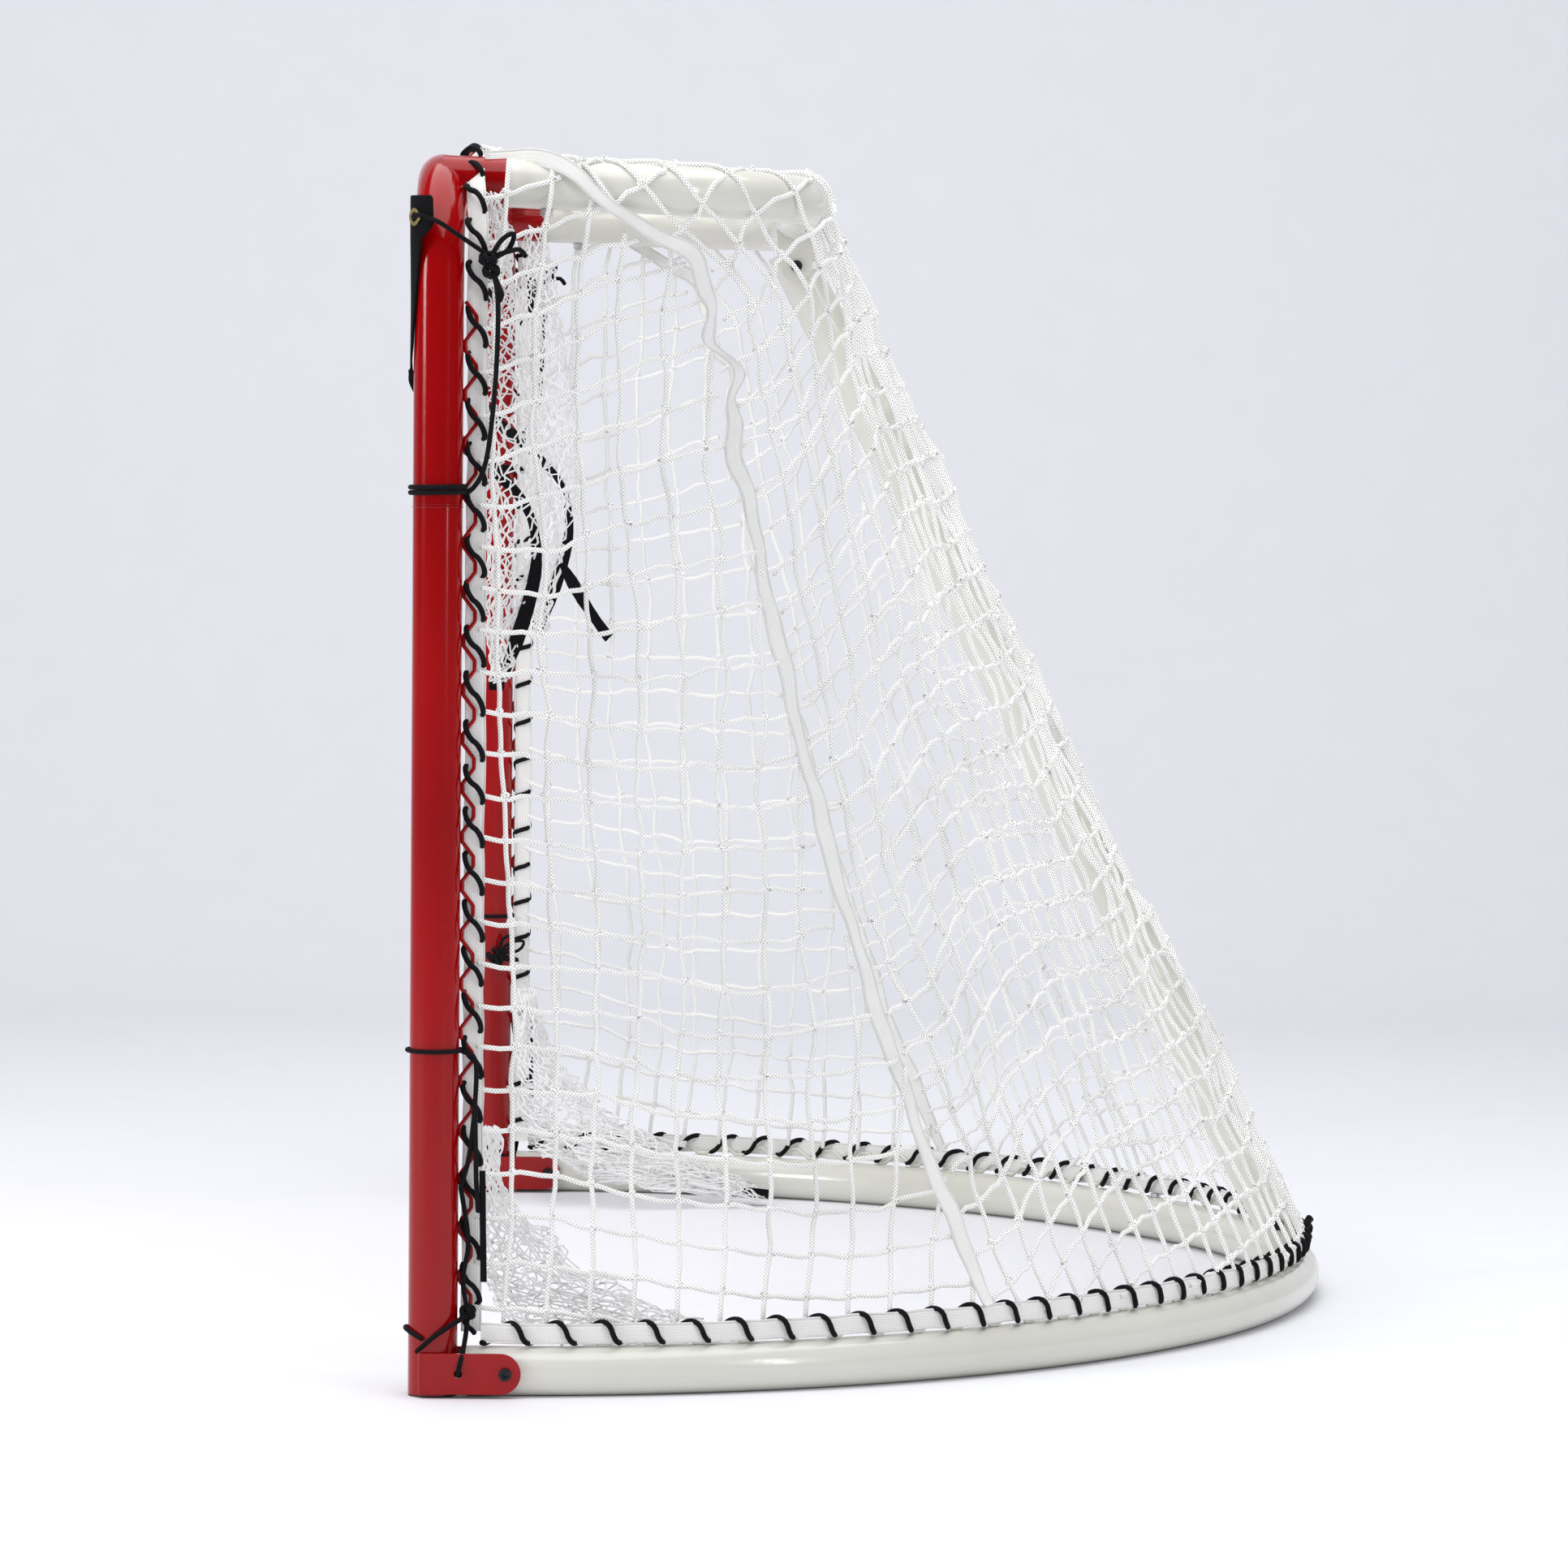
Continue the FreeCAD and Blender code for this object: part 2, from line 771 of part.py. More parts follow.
def rail(name, place_at, length, tube):
    """One bent wire, trimmed where its feet meet the tube it is welded to."""
    path = rounded_path(wave(place_at, length, size("rail_pitch")), 4)
    wire = sweep(name + "_wire", path, "Sizes.wire_radius")
    return node(name, cut(name + "_welded", wire, tube))


for side, sign in SIDES.items():
    across = sign * size("post_offset")
    low = 65
    tube = cylinder("rail_tool_" + side, "Sizes.tube_radius", "1300", along((across, 0, 0), (0, 0, 1)))
    rail(
        "post_rail_" + side,
        lambda d, up, x=across: Vector(x, size("tube_radius") + up, low + d),
        size("crossbar_height") - size("corner_bend") - low,
        tube,
    )

DIAGONAL = Vector(0, 1, 1).normalize()
bar_tool = cylinder(
    "crossbar_rail_tool", "Sizes.tube_radius", "2000", along((-1000, 0, size("crossbar_height")), (1, 0, 0))
)
rail_span = size("post_offset") - size("corner_bend")
rail(
    "crossbar_rail",
    lambda d, up: Vector(d - rail_span, 0, size("crossbar_height")) + DIAGONAL * (size("tube_radius") + up),
    2 * rail_span,
    bar_tool,
)

RAIL_OUT = 4
crest = math.sqrt(size("tube_radius") ** 2 - RAIL_OUT**2)
rail_curve = base_curve(RAIL_OUT, size("tube_radius") + crest)
top_length = rail_curve.length()


def base_rail_point(start):
    """Places rail points along the base curve, measured from a distance along it."""

    def place_at(distance, up):
        return rail_curve.value(rail_curve.parameterAtDistance(start + distance, first)) + UP * up

    return place_at


seam_distance = whole_curve.length(first, seam_right) * top_length / whole_curve.length()
RAIL_FRONT = 40
RAIL_END = 18
RAIL_PAST_BOLTS = 46
rail_tool = sweep("base_rail_tool", Part.Wire([whole_curve.toShape()]), "Sizes.tube_radius")
for name, start, end in (
    ("base_rail_right", RAIL_FRONT, seam_distance - RAIL_PAST_BOLTS),
    ("base_rail_rear", seam_distance + RAIL_END, top_length - seam_distance - RAIL_END),
):
    rail(name, base_rail_point(start), end - start, rail_tool)
node("base_rail_left", mirrored("base_rail_mirror", nodes["base_rail_right"]))

# ---------------------------------------------------------------- tape and lacing


def ribbon(inner_edge, outer_edge, rise):
    """A band between two plan curves, raised by a height."""
    return Part.makeRuledSurface(inner_edge, outer_edge).extrude(UP * rise)


tape_span = size("tape_high") - size("tape_low")
tape_gap = size("wire_radius") + 0.2
for side, sign in SIDES.items():
    near = sign * (size("post_offset") - tape_gap - size("tape_thick"))
    low_x, high_x = sorted((near, near + sign * size("tape_thick")))
    front = size("tube_radius") + size("tape_low")
    node(
        "post_tape_" + side,
        box("post_tape_strip_" + side, (low_x, front, 62), (high_x, front + tape_span, 1135)),
    )

tape_place = Placement(
    Vector(-rail_span, 0, size("crossbar_height")), Rotation(Vector(1, 0, 0), 45)
)
bar_tape = box(
    "crossbar_tape_strip",
    (0, size("tube_radius") + size("tape_low"), tape_gap),
    (2 * rail_span, size("tube_radius") + size("tape_high"), tape_gap + size("tape_thick")),
)
bar_tape.Placement = tape_place.multiply(bar_tape.Placement)
node("crossbar_tape", bar_tape)

tape_in = RAIL_OUT + tape_gap + 0.3
tape_base = 2 * size("tube_radius") + size("tape_low")
half_tape = feature(
    "base_tape_right",
    ribbon(
        right_half(base_curve(tape_in, tape_base)),
        right_half(base_curve(tape_in + size("tape_thick"), tape_base)),
        tape_span,
    ),
)
node("base_tape", fuse("base_tape_band", [half_tape, mirrored("base_tape_left", half_tape)]))


def stitches(name, count, ends):
    """Straight turns of lacing cord. ends(n) gives the two ends of turn n."""
    turns = []
    for n in range(count):
        start, end = ends(n)
        turn = cylinder("%s_%d" % (name, n), "Sizes.cord_radius", "1", along(start, end - start))
        turn.setExpression("Height", "%f" % (end - start).Length)
        turns.append(turn)
    return compound(name + "_turns", turns)


cord_out = size("wire_radius") + 0.2 + size("cord_radius")
for side, sign in SIDES.items():

    def post_turn(n, sign=sign):
        across = sign * (size("post_offset") + cord_out)
        top = 1120 - n * size("rail_pitch")
        return (
            Vector(across, size("tube_radius") + 5, top),
            Vector(across, size("tube_radius") + size("tape_high"), top - 24),
        )

    node("post_lacing_" + side, stitches("post_lacing_" + side, 21, post_turn))


def bar_turn(n):
    across = -rail_span + 20 + n * size("rail_pitch")
    centre = Vector(across, 0, size("crossbar_height"))
    lift = Vector(0, 1, -1).normalize() * cord_out
    return (
        centre + DIAGONAL * (size("tube_radius") + 5) + lift,
        centre + DIAGONAL * (size("tube_radius") + size("tape_high")) + lift + Vector(20, 0, 0),
    )


node("crossbar_lacing", stitches("crossbar_lacing", 32, bar_turn))

cord_curve = base_curve(tape_in + size("tape_thick") + size("cord_radius") + 0.3)
base_turns = int((cord_curve.length() / 2 - 80) // size("rail_pitch"))


def base_turn(n):
    here = 50 + n * size("rail_pitch")
    low, high = (
        cord_curve.value(cord_curve.parameterAtDistance(d, cord_curve.FirstParameter))
        for d in (here + 18, here)
    )
    return low + UP * (tape_base + 1), high + UP * (tape_base + tape_span)


right_turns = stitches("base_lacing_right", base_turns, base_turn)
node("base_lacing", compound("base_lacing_pair", [right_turns, mirrored("base_lacing_left", right_turns)]))

# ---------------------------------------------------------------- netting


net_front = size("tube_radius") + size("tape_high") + 2
SIDE_TOP = 0.093
SIDE_FOOT = 0.197
SEAM_SLACK = 0.002


def net_top_curve(outward):
    """Where the net passes the shelf: from the right post, round the shelf, to the left post."""
    out = size("shelf_offset") + outward
    bend = size("shelf_bend") + outward
    centre_x = size("shelf_offset") - size("shelf_bend")
    centre_y = size("shelf_front") + size("shelf_straight")
    points = [Vector(size("post_offset") - 34 + outward, net_front, 0), Vector(out, 120, 0)]
    for step in range(7):
        angle = step * math.pi / 12
        points.append(
            Vector(centre_x + bend * math.cos(angle), centre_y + bend * math.sin(angle), 0)
        )
    points += [Vector(centre_x * share, centre_y + bend, 0) for share in (0.66, 0.33)]
    left = [Vector(-p.x, p.y, 0) for p in reversed(points)]
    curve = Part.BSplineCurve()
    curve.interpolate(points + [Vector(0, centre_y + bend, 0)] + left)
    return curve


top_curves = {out: net_top_curve(size("net_gap") + out) for out in (0, size("net_thick"), 5, 7)}


def net_top_at(share, out):
    curve = top_curves[out]
    distance = share * curve.length()
    spot = curve.value(curve.parameterAtDistance(distance, curve.FirstParameter))
    return spot + UP * size("net_head")


def net_foot_at(turn, out):
    spot = base_point(min(max(turn, 0.012), 0.988), 9 + out)
    return spot + UP * size("net_foot")


def net_panel(top_span, foot_span, count=13):
    """A sheet of netting between the shelf and the base, one closed solid."""
    wires = []
    for place_at, (start, end) in ((net_foot_at, foot_span), (net_top_at, top_span)):
        shares = [start + (end - start) * n / (count - 1) for n in range(count)]
        sheets = [[place_at(share, out) for share in shares] for out in (size("net_thick"), 0)]
        curves = []
        for points in sheets:
            curve = Part.BSplineCurve()
            curve.interpolate(points)
            curves.append(curve.toShape())
        outside, inside = sheets
        wires.append(
            Part.Wire(
                [
                    curves[0],
                    Part.LineSegment(outside[-1], inside[-1]).toShape(),
                    curves[1],
                    Part.LineSegment(inside[0], outside[0]).toShape(),
                ]
            )
        )
    return Part.makeLoft(wires, True, True)


side_panel = net_panel((0, SIDE_TOP - SEAM_SLACK), (0, SIDE_FOOT - SEAM_SLACK))
node("net_side_right", feature("net_right_panel", side_panel))
node("net_side_left", mirrored("net_left_panel", nodes["net_side_right"]))
back_spans = [(edge + SEAM_SLACK, 1 - edge - SEAM_SLACK) for edge in (SIDE_TOP, SIDE_FOOT)]
node("net_back", feature("net_back_panel", net_panel(*back_spans, count=41)))

# A flat tape covers each joint between the side and the back netting.
SEAM_WIDTH = 18
SEAM_CLEAR = 6
SEAM_END = 9
seam_foot, seam_top = net_foot_at(SIDE_FOOT, 0), net_top_at(SIDE_TOP, 0)
seam_run = seam_top - seam_foot
seam_out = net_foot_at(SIDE_FOOT, 7) - seam_foot + net_top_at(SIDE_TOP, 7) - seam_top
seam_side = seam_out.cross(seam_run).normalize()
seam_strip = Part.makeBox(
    SEAM_WIDTH,
    size("net_thick"),
    seam_run.Length - 2 * SEAM_END,
    Vector(-SEAM_WIDTH / 2, SEAM_CLEAR, SEAM_END),
)
seam_tape = feature("seam_tape_right", seam_strip)
seam_tape.Placement = Placement(seam_foot, Rotation(seam_side, seam_out, seam_run, "ZXY"))
seam_pair = [seam_tape, mirrored("seam_tape_left", seam_tape)]
node("seam_tapes", compound("seam_tape_pair", seam_pair))

roof_low = size("tube_radius") + 0.6
roof_front = 44 - size("shelf_front")
roof_path = [
    Vector(size("shelf_offset") - 10, roof_front, 0),
    Vector(size("shelf_offset") - 10, corner_point - 4, 0),
    Vector(-size("shelf_offset") + 10, corner_point - 4, 0),
    Vector(-size("shelf_offset") + 10, roof_front, 0),
]
roof_edge = rounded_path(roof_path, size("shelf_bend") - 10)
roof_close = Part.LineSegment(roof_path[-1], roof_path[0]).toShape()
roof_face = Part.Face(Part.Wire(roof_edge.Edges + [roof_close]))
roof = feature("net_roof_panel", roof_face.extrude(UP * size("net_thick")))
roof.Placement = SHELF.multiply(Placement(Vector(0, 0, roof_low + 6), Rotation()))
node("net_top", roof)

# ---------------------------------------------------------------- corner pockets

LEVELS = {"top": (730, 1150, 140), "bottom": (12, 150, 330)}
POCKET_FRONT = 62
webbings = []
grommets = []
cords = []
for level, (low, high, deep) in LEVELS.items():
    for side, sign in SIDES.items():
        near, far = (790, 865) if level == "top" else (720, 850)
        low_x, high_x = sorted((sign * near, sign * far))
        name = "pocket_%s_%s" % (level, side)
        blocks = []
        for wall, front in ((0, POCKET_FRONT), (size("webbing_thick"), POCKET_FRONT - 10)):
            wires = []
            for height, shrink in ((low + wall, 20), (high - wall, 0)):
                left, right = low_x + shrink + wall, high_x - shrink - wall
                back = deep - shrink - wall
                outline = [(left, front), (right, front), (right, back), (left, back)]
                corners = [Vector(x, y, height) for x, y in outline]
                wires.append(Part.makePolygon(corners + corners[:1]))
            blocks.append(feature(name + "_%d" % front, Part.makeLoft(wires, True, True)))
        node(name, cut(name + "_bag", *blocks))

# Each top pocket hangs from a webbing tab beside the front of its post, with an eyelet for its cord.
# Each bottom pocket is edged by a narrow strip of webbing along the tape of its post.
TAB_OUT = Vector(0.585, -0.811, 0).normalize()
TAB_GAP = 1.6
TAB_LOW, TAB_HIGH, EYELET_HEIGHT = 1046, 1224, 1202
STRIP_LOW, STRIP_HIGH = (949, 47, 118), (951.5, 54, 232)
tab_length = TAB_HIGH - TAB_LOW
tab_box = Part.makeBox(
    size("webbing_width"),
    size("webbing_thick"),
    tab_length,
    Vector(-size("webbing_width") / 2, size("tube_radius") + TAB_GAP, 0),
)
tab = feature("pocket_tab_right", tab_box)
post_centre = Vector(size("post_offset"), 0, 0)
tab.Placement = Placement(
    post_centre + UP * TAB_LOW, Rotation(TAB_OUT.cross(UP), TAB_OUT, UP, "ZXY")
)
strip = box("pocket_strip_right", STRIP_LOW, STRIP_HIGH)
webbings += [tab, strip, mirrored("pocket_tab_left", tab), mirrored("pocket_strip_left", strip)]
tab_face = size("tube_radius") + TAB_GAP + size("webbing_thick")
eyelet_at = post_centre + TAB_OUT * tab_face + UP * EYELET_HEIGHT
eyelet = hollow(
    "grommet_right",
    "Sizes.grommet_radius",
    "Sizes.grommet_bore",
    "Sizes.grommet_thick",
    along(eyelet_at, TAB_OUT),
)
grommets += [eyelet, mirrored("grommet_left", eyelet)]

# Each pocket is tied to its post by a hoop of cord, open behind where the wire rail stands.
HOOP_TURN = 250
HOOP_START = 145
for side, sign in SIDES.items():
    for height in (920, 345):
        hoop = doc.addObject("Part::Torus", "cord_%s_%d" % (side, height))
        hoop.setExpression("Radius1", "Sizes.tube_radius + Sizes.pocket_cord_radius + 0.2")
        hoop.setExpression("Radius2", "Sizes.pocket_cord_radius")
        hoop.Angle3 = HOOP_TURN
        hoop.Placement = Placement(
            Vector(sign * size("post_offset"), 0, height),
            Rotation(Vector(0, 0, 1), HOOP_START),
        )
        cords.append(hoop)
node("pocket_cords", compound("pocket_cord_set", cords))
node("pocket_webbing", compound("pocket_webbing_set", webbings))
node("pocket_grommets", compound("pocket_grommet_set", grommets))

doc.recompute()

# ---------------------------------------------------------------- check and write

for item in doc.Objects:
    if any(word in item.State for word in ("Invalid", "Error")):
        raise RuntimeError("%s is in error" % item.Name)

os.makedirs("parts", exist_ok=True)
for name, item in sorted(nodes.items()):
    shape = item.Shape
    if shape.isNull() or not shape.isValid():
        raise RuntimeError("%s has no valid shape" % name)
    if not shape.Solids:
        raise RuntimeError("%s has no solid" % name)
    shape.exportStep("parts/%s.step" % name)
    print("%-22s solids %3d volume %10.0f" % (name, len(shape.Solids), shape.Volume))
print("%d nodes written" % len(nodes))
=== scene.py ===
"""Looks of a fold-up ice hockey goal: gloss tube, laced tape, knotted netting and mesh corner pockets.

Metres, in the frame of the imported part: the goal line runs along X, the net is behind it in +Y, and Z is up.
"""

import json
import math
import random

import bpy
import numpy as np
from mathutils import Matrix, Vector, noise


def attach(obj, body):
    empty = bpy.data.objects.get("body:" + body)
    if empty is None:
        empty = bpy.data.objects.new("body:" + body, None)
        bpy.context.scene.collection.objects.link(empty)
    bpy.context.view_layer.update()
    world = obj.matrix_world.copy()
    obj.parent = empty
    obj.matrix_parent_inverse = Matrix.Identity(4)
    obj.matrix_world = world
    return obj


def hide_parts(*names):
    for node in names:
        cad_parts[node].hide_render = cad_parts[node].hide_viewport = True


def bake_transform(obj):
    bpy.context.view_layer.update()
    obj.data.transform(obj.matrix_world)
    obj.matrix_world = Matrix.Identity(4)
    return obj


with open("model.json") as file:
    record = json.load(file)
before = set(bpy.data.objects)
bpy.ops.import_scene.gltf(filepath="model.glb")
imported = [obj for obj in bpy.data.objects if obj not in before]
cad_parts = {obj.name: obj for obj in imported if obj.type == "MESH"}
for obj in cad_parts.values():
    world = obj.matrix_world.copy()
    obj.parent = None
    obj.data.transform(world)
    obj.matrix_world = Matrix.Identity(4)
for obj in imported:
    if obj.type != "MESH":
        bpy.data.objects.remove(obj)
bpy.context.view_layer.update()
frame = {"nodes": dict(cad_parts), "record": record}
nodes = frame["nodes"]
random.seed(17)

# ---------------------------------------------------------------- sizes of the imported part

TUBE = 0.0254
POST_X = 0.9398
BAR_Z = 1.2446
SHELF_X = 0.864
SHELF_BEND = 0.2
SHELF_REAR = 0.372
SHELF_START = 0.0665
SHELF_Z = 1.240
SHELF_SLOPE = math.tan(math.radians(2.2))
BASE_START = 0.07
BASE_DEPTH = 0.89
BASE_POWER = 1.9
TAPE_TOP = 0.0728

# ---------------------------------------------------------------- materials


class Paint:
    """One node material. Its helpers add nodes and return their output sockets."""

    def __init__(self, name):
        self.material = bpy.data.materials.new(name)
        self.material.use_nodes = True
        self.tree = self.material.node_tree
        self.shader = self.tree.nodes["Principled BSDF"]

    def node(self, kind, **values):
        made = self.tree.nodes.new(kind)
        for key, value in values.items():
            setattr(made, key, value)
        return made

    def feed(self, socket, value):
        if isinstance(value, bpy.types.NodeSocket):
            self.tree.links.new(value, socket)
        else:
            socket.default_value = value

    def math(self, operation, *values):
        made = self.node("ShaderNodeMath", operation=operation)
        for socket, value in zip(made.inputs, values):
            self.feed(socket, value)
        return made.outputs[0]

    def place(self):
        return self.node("ShaderNodeTexCoord").outputs["Object"]

    def cord_uv(self):
        split = self.node("ShaderNodeSeparateXYZ")
        self.feed(split.inputs[0], self.node("ShaderNodeTexCoord").outputs["UV"])
        return split.outputs[0], split.outputs[1]

    def noise(self, scale, detail=3.0, rough=0.5, at=None):
        made = self.node("ShaderNodeTexNoise")
        self.feed(made.inputs["Vector"], at if at is not None else self.place())
        made.inputs["Scale"].default_value = scale
        made.inputs["Detail"].default_value = detail
        made.inputs["Roughness"].default_value = rough
        return made.outputs["Fac"]

    def span(self, value, low, high, to_low=0.0, to_high=1.0):
        made = self.node("ShaderNodeMapRange")
        for socket, number in zip(made.inputs[:5], (value, low, high, to_low, to_high)):
            self.feed(socket, number)
        return made.outputs[0]

    def mix(self, share, first, second):
        made = self.node("ShaderNodeMix", data_type="RGBA")
        self.feed(made.inputs["Factor"], share)
        self.feed(made.inputs[6], first if isinstance(first, bpy.types.NodeSocket) else (*first, 1))
        self.feed(made.inputs[7], second if isinstance(second, bpy.types.NodeSocket) else (*second, 1))
        return made.outputs[2]

    def bump(self, height, strength, distance, onto=None):
        made = self.node("ShaderNodeBump")
        self.feed(made.inputs["Height"], height)
        made.inputs["Strength"].default_value = strength
        made.inputs["Distance"].default_value = distance
        if onto is not None:
            self.feed(made.inputs["Normal"], onto)
        return made.outputs[0]

    def set(self, **values):
        for key, value in values.items():
            name = key.replace("_", " ")
            if isinstance(value, tuple) and len(value) == 3:
                value = (*value, 1)
            self.feed(self.shader.inputs[name], value)
        return self


def enamel(name, colour, shade, roughness, specular):
    """Gloss powder coat: faint orange peel, a slow change of shade, small scuffs."""
    paint = Paint(name)
    cloud = paint.noise(3.0, 4)
    scuff = paint.span(paint.noise(55, 6, 0.7), 0.66, 0.74)
    tint = paint.mix(paint.span(cloud, 0.35, 0.7), colour, shade)
    marks = paint.mix(paint.math("MULTIPLY", scuff, 0.35), tint, tuple(c * 0.55 for c in shade))
    peel = paint.bump(paint.noise(900, 2), 0.12, 0.0004)
    dents = paint.bump(paint.noise(60, 3), 0.08, 0.001, peel)
    rough = paint.math("ADD", roughness, paint.math("MULTIPLY", scuff, 0.25))
    paint.set(Base_Color=marks, Roughness=rough, Normal=dents, Specular_IOR_Level=specular)
    paint.set(Coat_Weight=specular * 0.6, Coat_Roughness=0.05)
    return paint.material


def metal(name, colour, roughness):
    """Plated or oxidised steel and brass, with fine tool marks."""
    paint = Paint(name)
    lines = paint.noise(1400, 2)
    dull = paint.noise(160, 4)
    tint = paint.mix(paint.span(dull, 0.4, 0.7), colour, tuple(c * 0.7 for c in colour))
    rough = paint.span(dull, 0.3, 0.8, roughness * 0.8, roughness * 1.5)
    paint.set(Base_Color=tint, Metallic=1.0, Roughness=rough, Normal=paint.bump(lines, 0.15, 0.0002))
    return paint.material


def plastic(name, colour):
    paint = Paint(name)
    grain = paint.noise(700, 3)
    tint = paint.mix(paint.noise(40, 3), colour, tuple(c * 1.8 + 0.01 for c in colour))
    paint.set(Base_Color=tint, Roughness=0.5, Normal=paint.bump(grain, 0.3, 0.0004))
    return paint.material


def soften(paint, colour, sheen, glow):
    """Cloth finish: little gloss, some sheen, and a faint painted glow: emission that makes white fibre look
    lit through.
    """
    paint.set(Roughness=0.85, Sheen_Weight=sheen, Sheen_Roughness=0.4, Specular_IOR_Level=0.15)
    # painted glow: emission brightens the cloth though it is no lamp
    paint.set(Emission_Color=colour, Emission_Strength=glow)


def braid(name, colour, dark, lay, sheen, depth=0.0005, glow=0.0):
    """Round braided cord. UV x runs once round the cord and y is the distance along it in metres."""
    paint = Paint(name)
    turn, run = paint.cord_uv()
    turns = paint.math("MULTIPLY", turn, 2.0)
    steps = paint.math("DIVIDE", run, lay)
    strands = []
    for hand in ("ADD", "SUBTRACT"):
        phase = paint.math("MULTIPLY", paint.math(hand, steps, turns), math.tau)
        strands.append(paint.math("ABSOLUTE", paint.math("SINE", phase)))
    weave = paint.math("MAXIMUM", *strands)
    gap = paint.span(weave, 0.45, 0.95)
    fuzz = paint.noise(2500, 3)
    height = paint.math("ADD", gap, paint.math("MULTIPLY", fuzz, 0.35))
    # painted shade: the hollows between strands take the dark colour
    tint = paint.mix(gap, dark, colour)
    soil = paint.span(paint.noise(9, 3), 0.45, 0.75, 0.0, 0.3)
    # soil darkens it at random towards the same dark colour, as real dirt
    soil_and_shade = paint.mix(soil, tint, dark)
    soften(paint, soil_and_shade, sheen, glow)
    paint.set(Base_Color=soil_and_shade, Normal=paint.bump(height, 0.8, depth))
    return paint.material


def webbing(name, colour, dark, pitch, sheen, glow=0.0):
    """Flat woven band with fine ribs across it and slower herringbone along it."""
    paint = Paint(name)
    across, along = paint.cord_uv()
    ribs = paint.math("SINE", paint.math("MULTIPLY", along, math.tau / pitch))
    warp = paint.math("SINE", paint.math("MULTIPLY", across, math.tau / (pitch * 1.3)))
    weave = paint.math("MULTIPLY", paint.math("ADD", ribs, 1.0), paint.math("ADD", warp, 1.0))
    fuzz = paint.noise(1800, 3)
    height = paint.math("ADD", paint.math("MULTIPLY", weave, 0.25), paint.math("MULTIPLY", fuzz, 0.4))
    # painted shade: the low parts of the weave take the dark colour
    tint = paint.mix(paint.span(weave, 0.0, 2.2), dark, colour)
    soil = paint.span(paint.noise(22, 4), 0.5, 0.8, 0.0, 0.35)
    # soil darkens it at random towards the same dark colour, as real dirt
    soil_and_shade = paint.mix(soil, tint, dark)
    soften(paint, soil_and_shade, sheen, glow)
    paint.set(Base_Color=soil_and_shade, Normal=paint.bump(height, 0.7, 0.0004))
    return paint.material


RED = enamel("red_enamel", (0.36, 0.0006, 0.002), (0.27, 0.0003, 0.001), 0.13, 0.26)
IVORY = enamel("white_enamel", (0.74, 0.735, 0.675), (0.66, 0.655, 0.59), 0.2, 0.45)
STEEL = metal("bare_steel", (0.55, 0.55, 0.55), 0.35)
BLACKED = metal("dark_bolt", (0.045, 0.045, 0.05), 0.42)
PLATED = metal("plated_bolt", (0.72, 0.72, 0.74), 0.2)
BRASS = metal("brass_eyelet", (0.78, 0.60, 0.24), 0.22)
PLUG = plastic("black_plastic", (0.012, 0.012, 0.012))
# The second colour of each cord and tape is painted shade in its hollows and also its soil; glow is a painted
# glow on the white ones.
CORD = braid("white_cord", (0.97, 0.97, 0.95), (0.36, 0.36, 0.35), 0.0075, 0.2, 0.0009, glow=0.24)
MESH = braid("fine_mesh", (0.97, 0.97, 0.97), (0.62, 0.62, 0.62), 0.004, 0.2, 0.0002, glow=0.10)
BLACK_CORD = braid("black_cord", (0.010, 0.010, 0.012), (0.002, 0.002, 0.003), 0.006, 0.02)
TAPE = webbing("white_tape", (0.93, 0.93, 0.91), (0.68, 0.68, 0.66), 0.0016, 0.2, glow=0.12)
BLACK_WEB = webbing("black_webbing", (0.010, 0.010, 0.012), (0.002, 0.002, 0.003), 0.002, 0.02)

FINISHES = {
    "red_enamel": RED,
    "white_enamel": IVORY,
    "bare_steel": STEEL,
    "dark_bolt": BLACKED,
    "plated_bolt": PLATED,
    "black_plastic": PLUG,
    "white_cord": CORD,
    "white_tape": TAPE,
    "black_cord": BLACK_CORD,
    "black_webbing": BLACK_WEB,
    "brass_eyelet": BRASS,
    "fine_mesh": MESH,
}

for row in frame["record"]["subparts"]:
    mesh = nodes[row["node"]].data
    mesh.materials.clear()
    mesh.materials.append(FINISHES[row["material_slot"]])

# ---------------------------------------------------------------- mesh code

RIGHT = np.array([1, 1, 1])
LEFT = np.array([-1, 1, 1])


def run_along(path):
    """Distance from a path's start to each of its points."""
    return np.concatenate([[0], np.cumsum(np.linalg.norm(np.diff(path, axis=0), axis=1))])


def beside(path, face_hint):
    """Directions across a path and out of it, given roughly which way out is."""
    ahead = np.gradient(path, axis=0)
    ahead /= np.linalg.norm(ahead, axis=1)[:, None]
    out = np.broadcast_to(np.asarray(face_hint, float), path.shape).copy()
    out -= ahead * (out * ahead).sum(1)[:, None]
    out /= np.linalg.norm(out, axis=1)[:, None]
    return np.cross(ahead, out), out


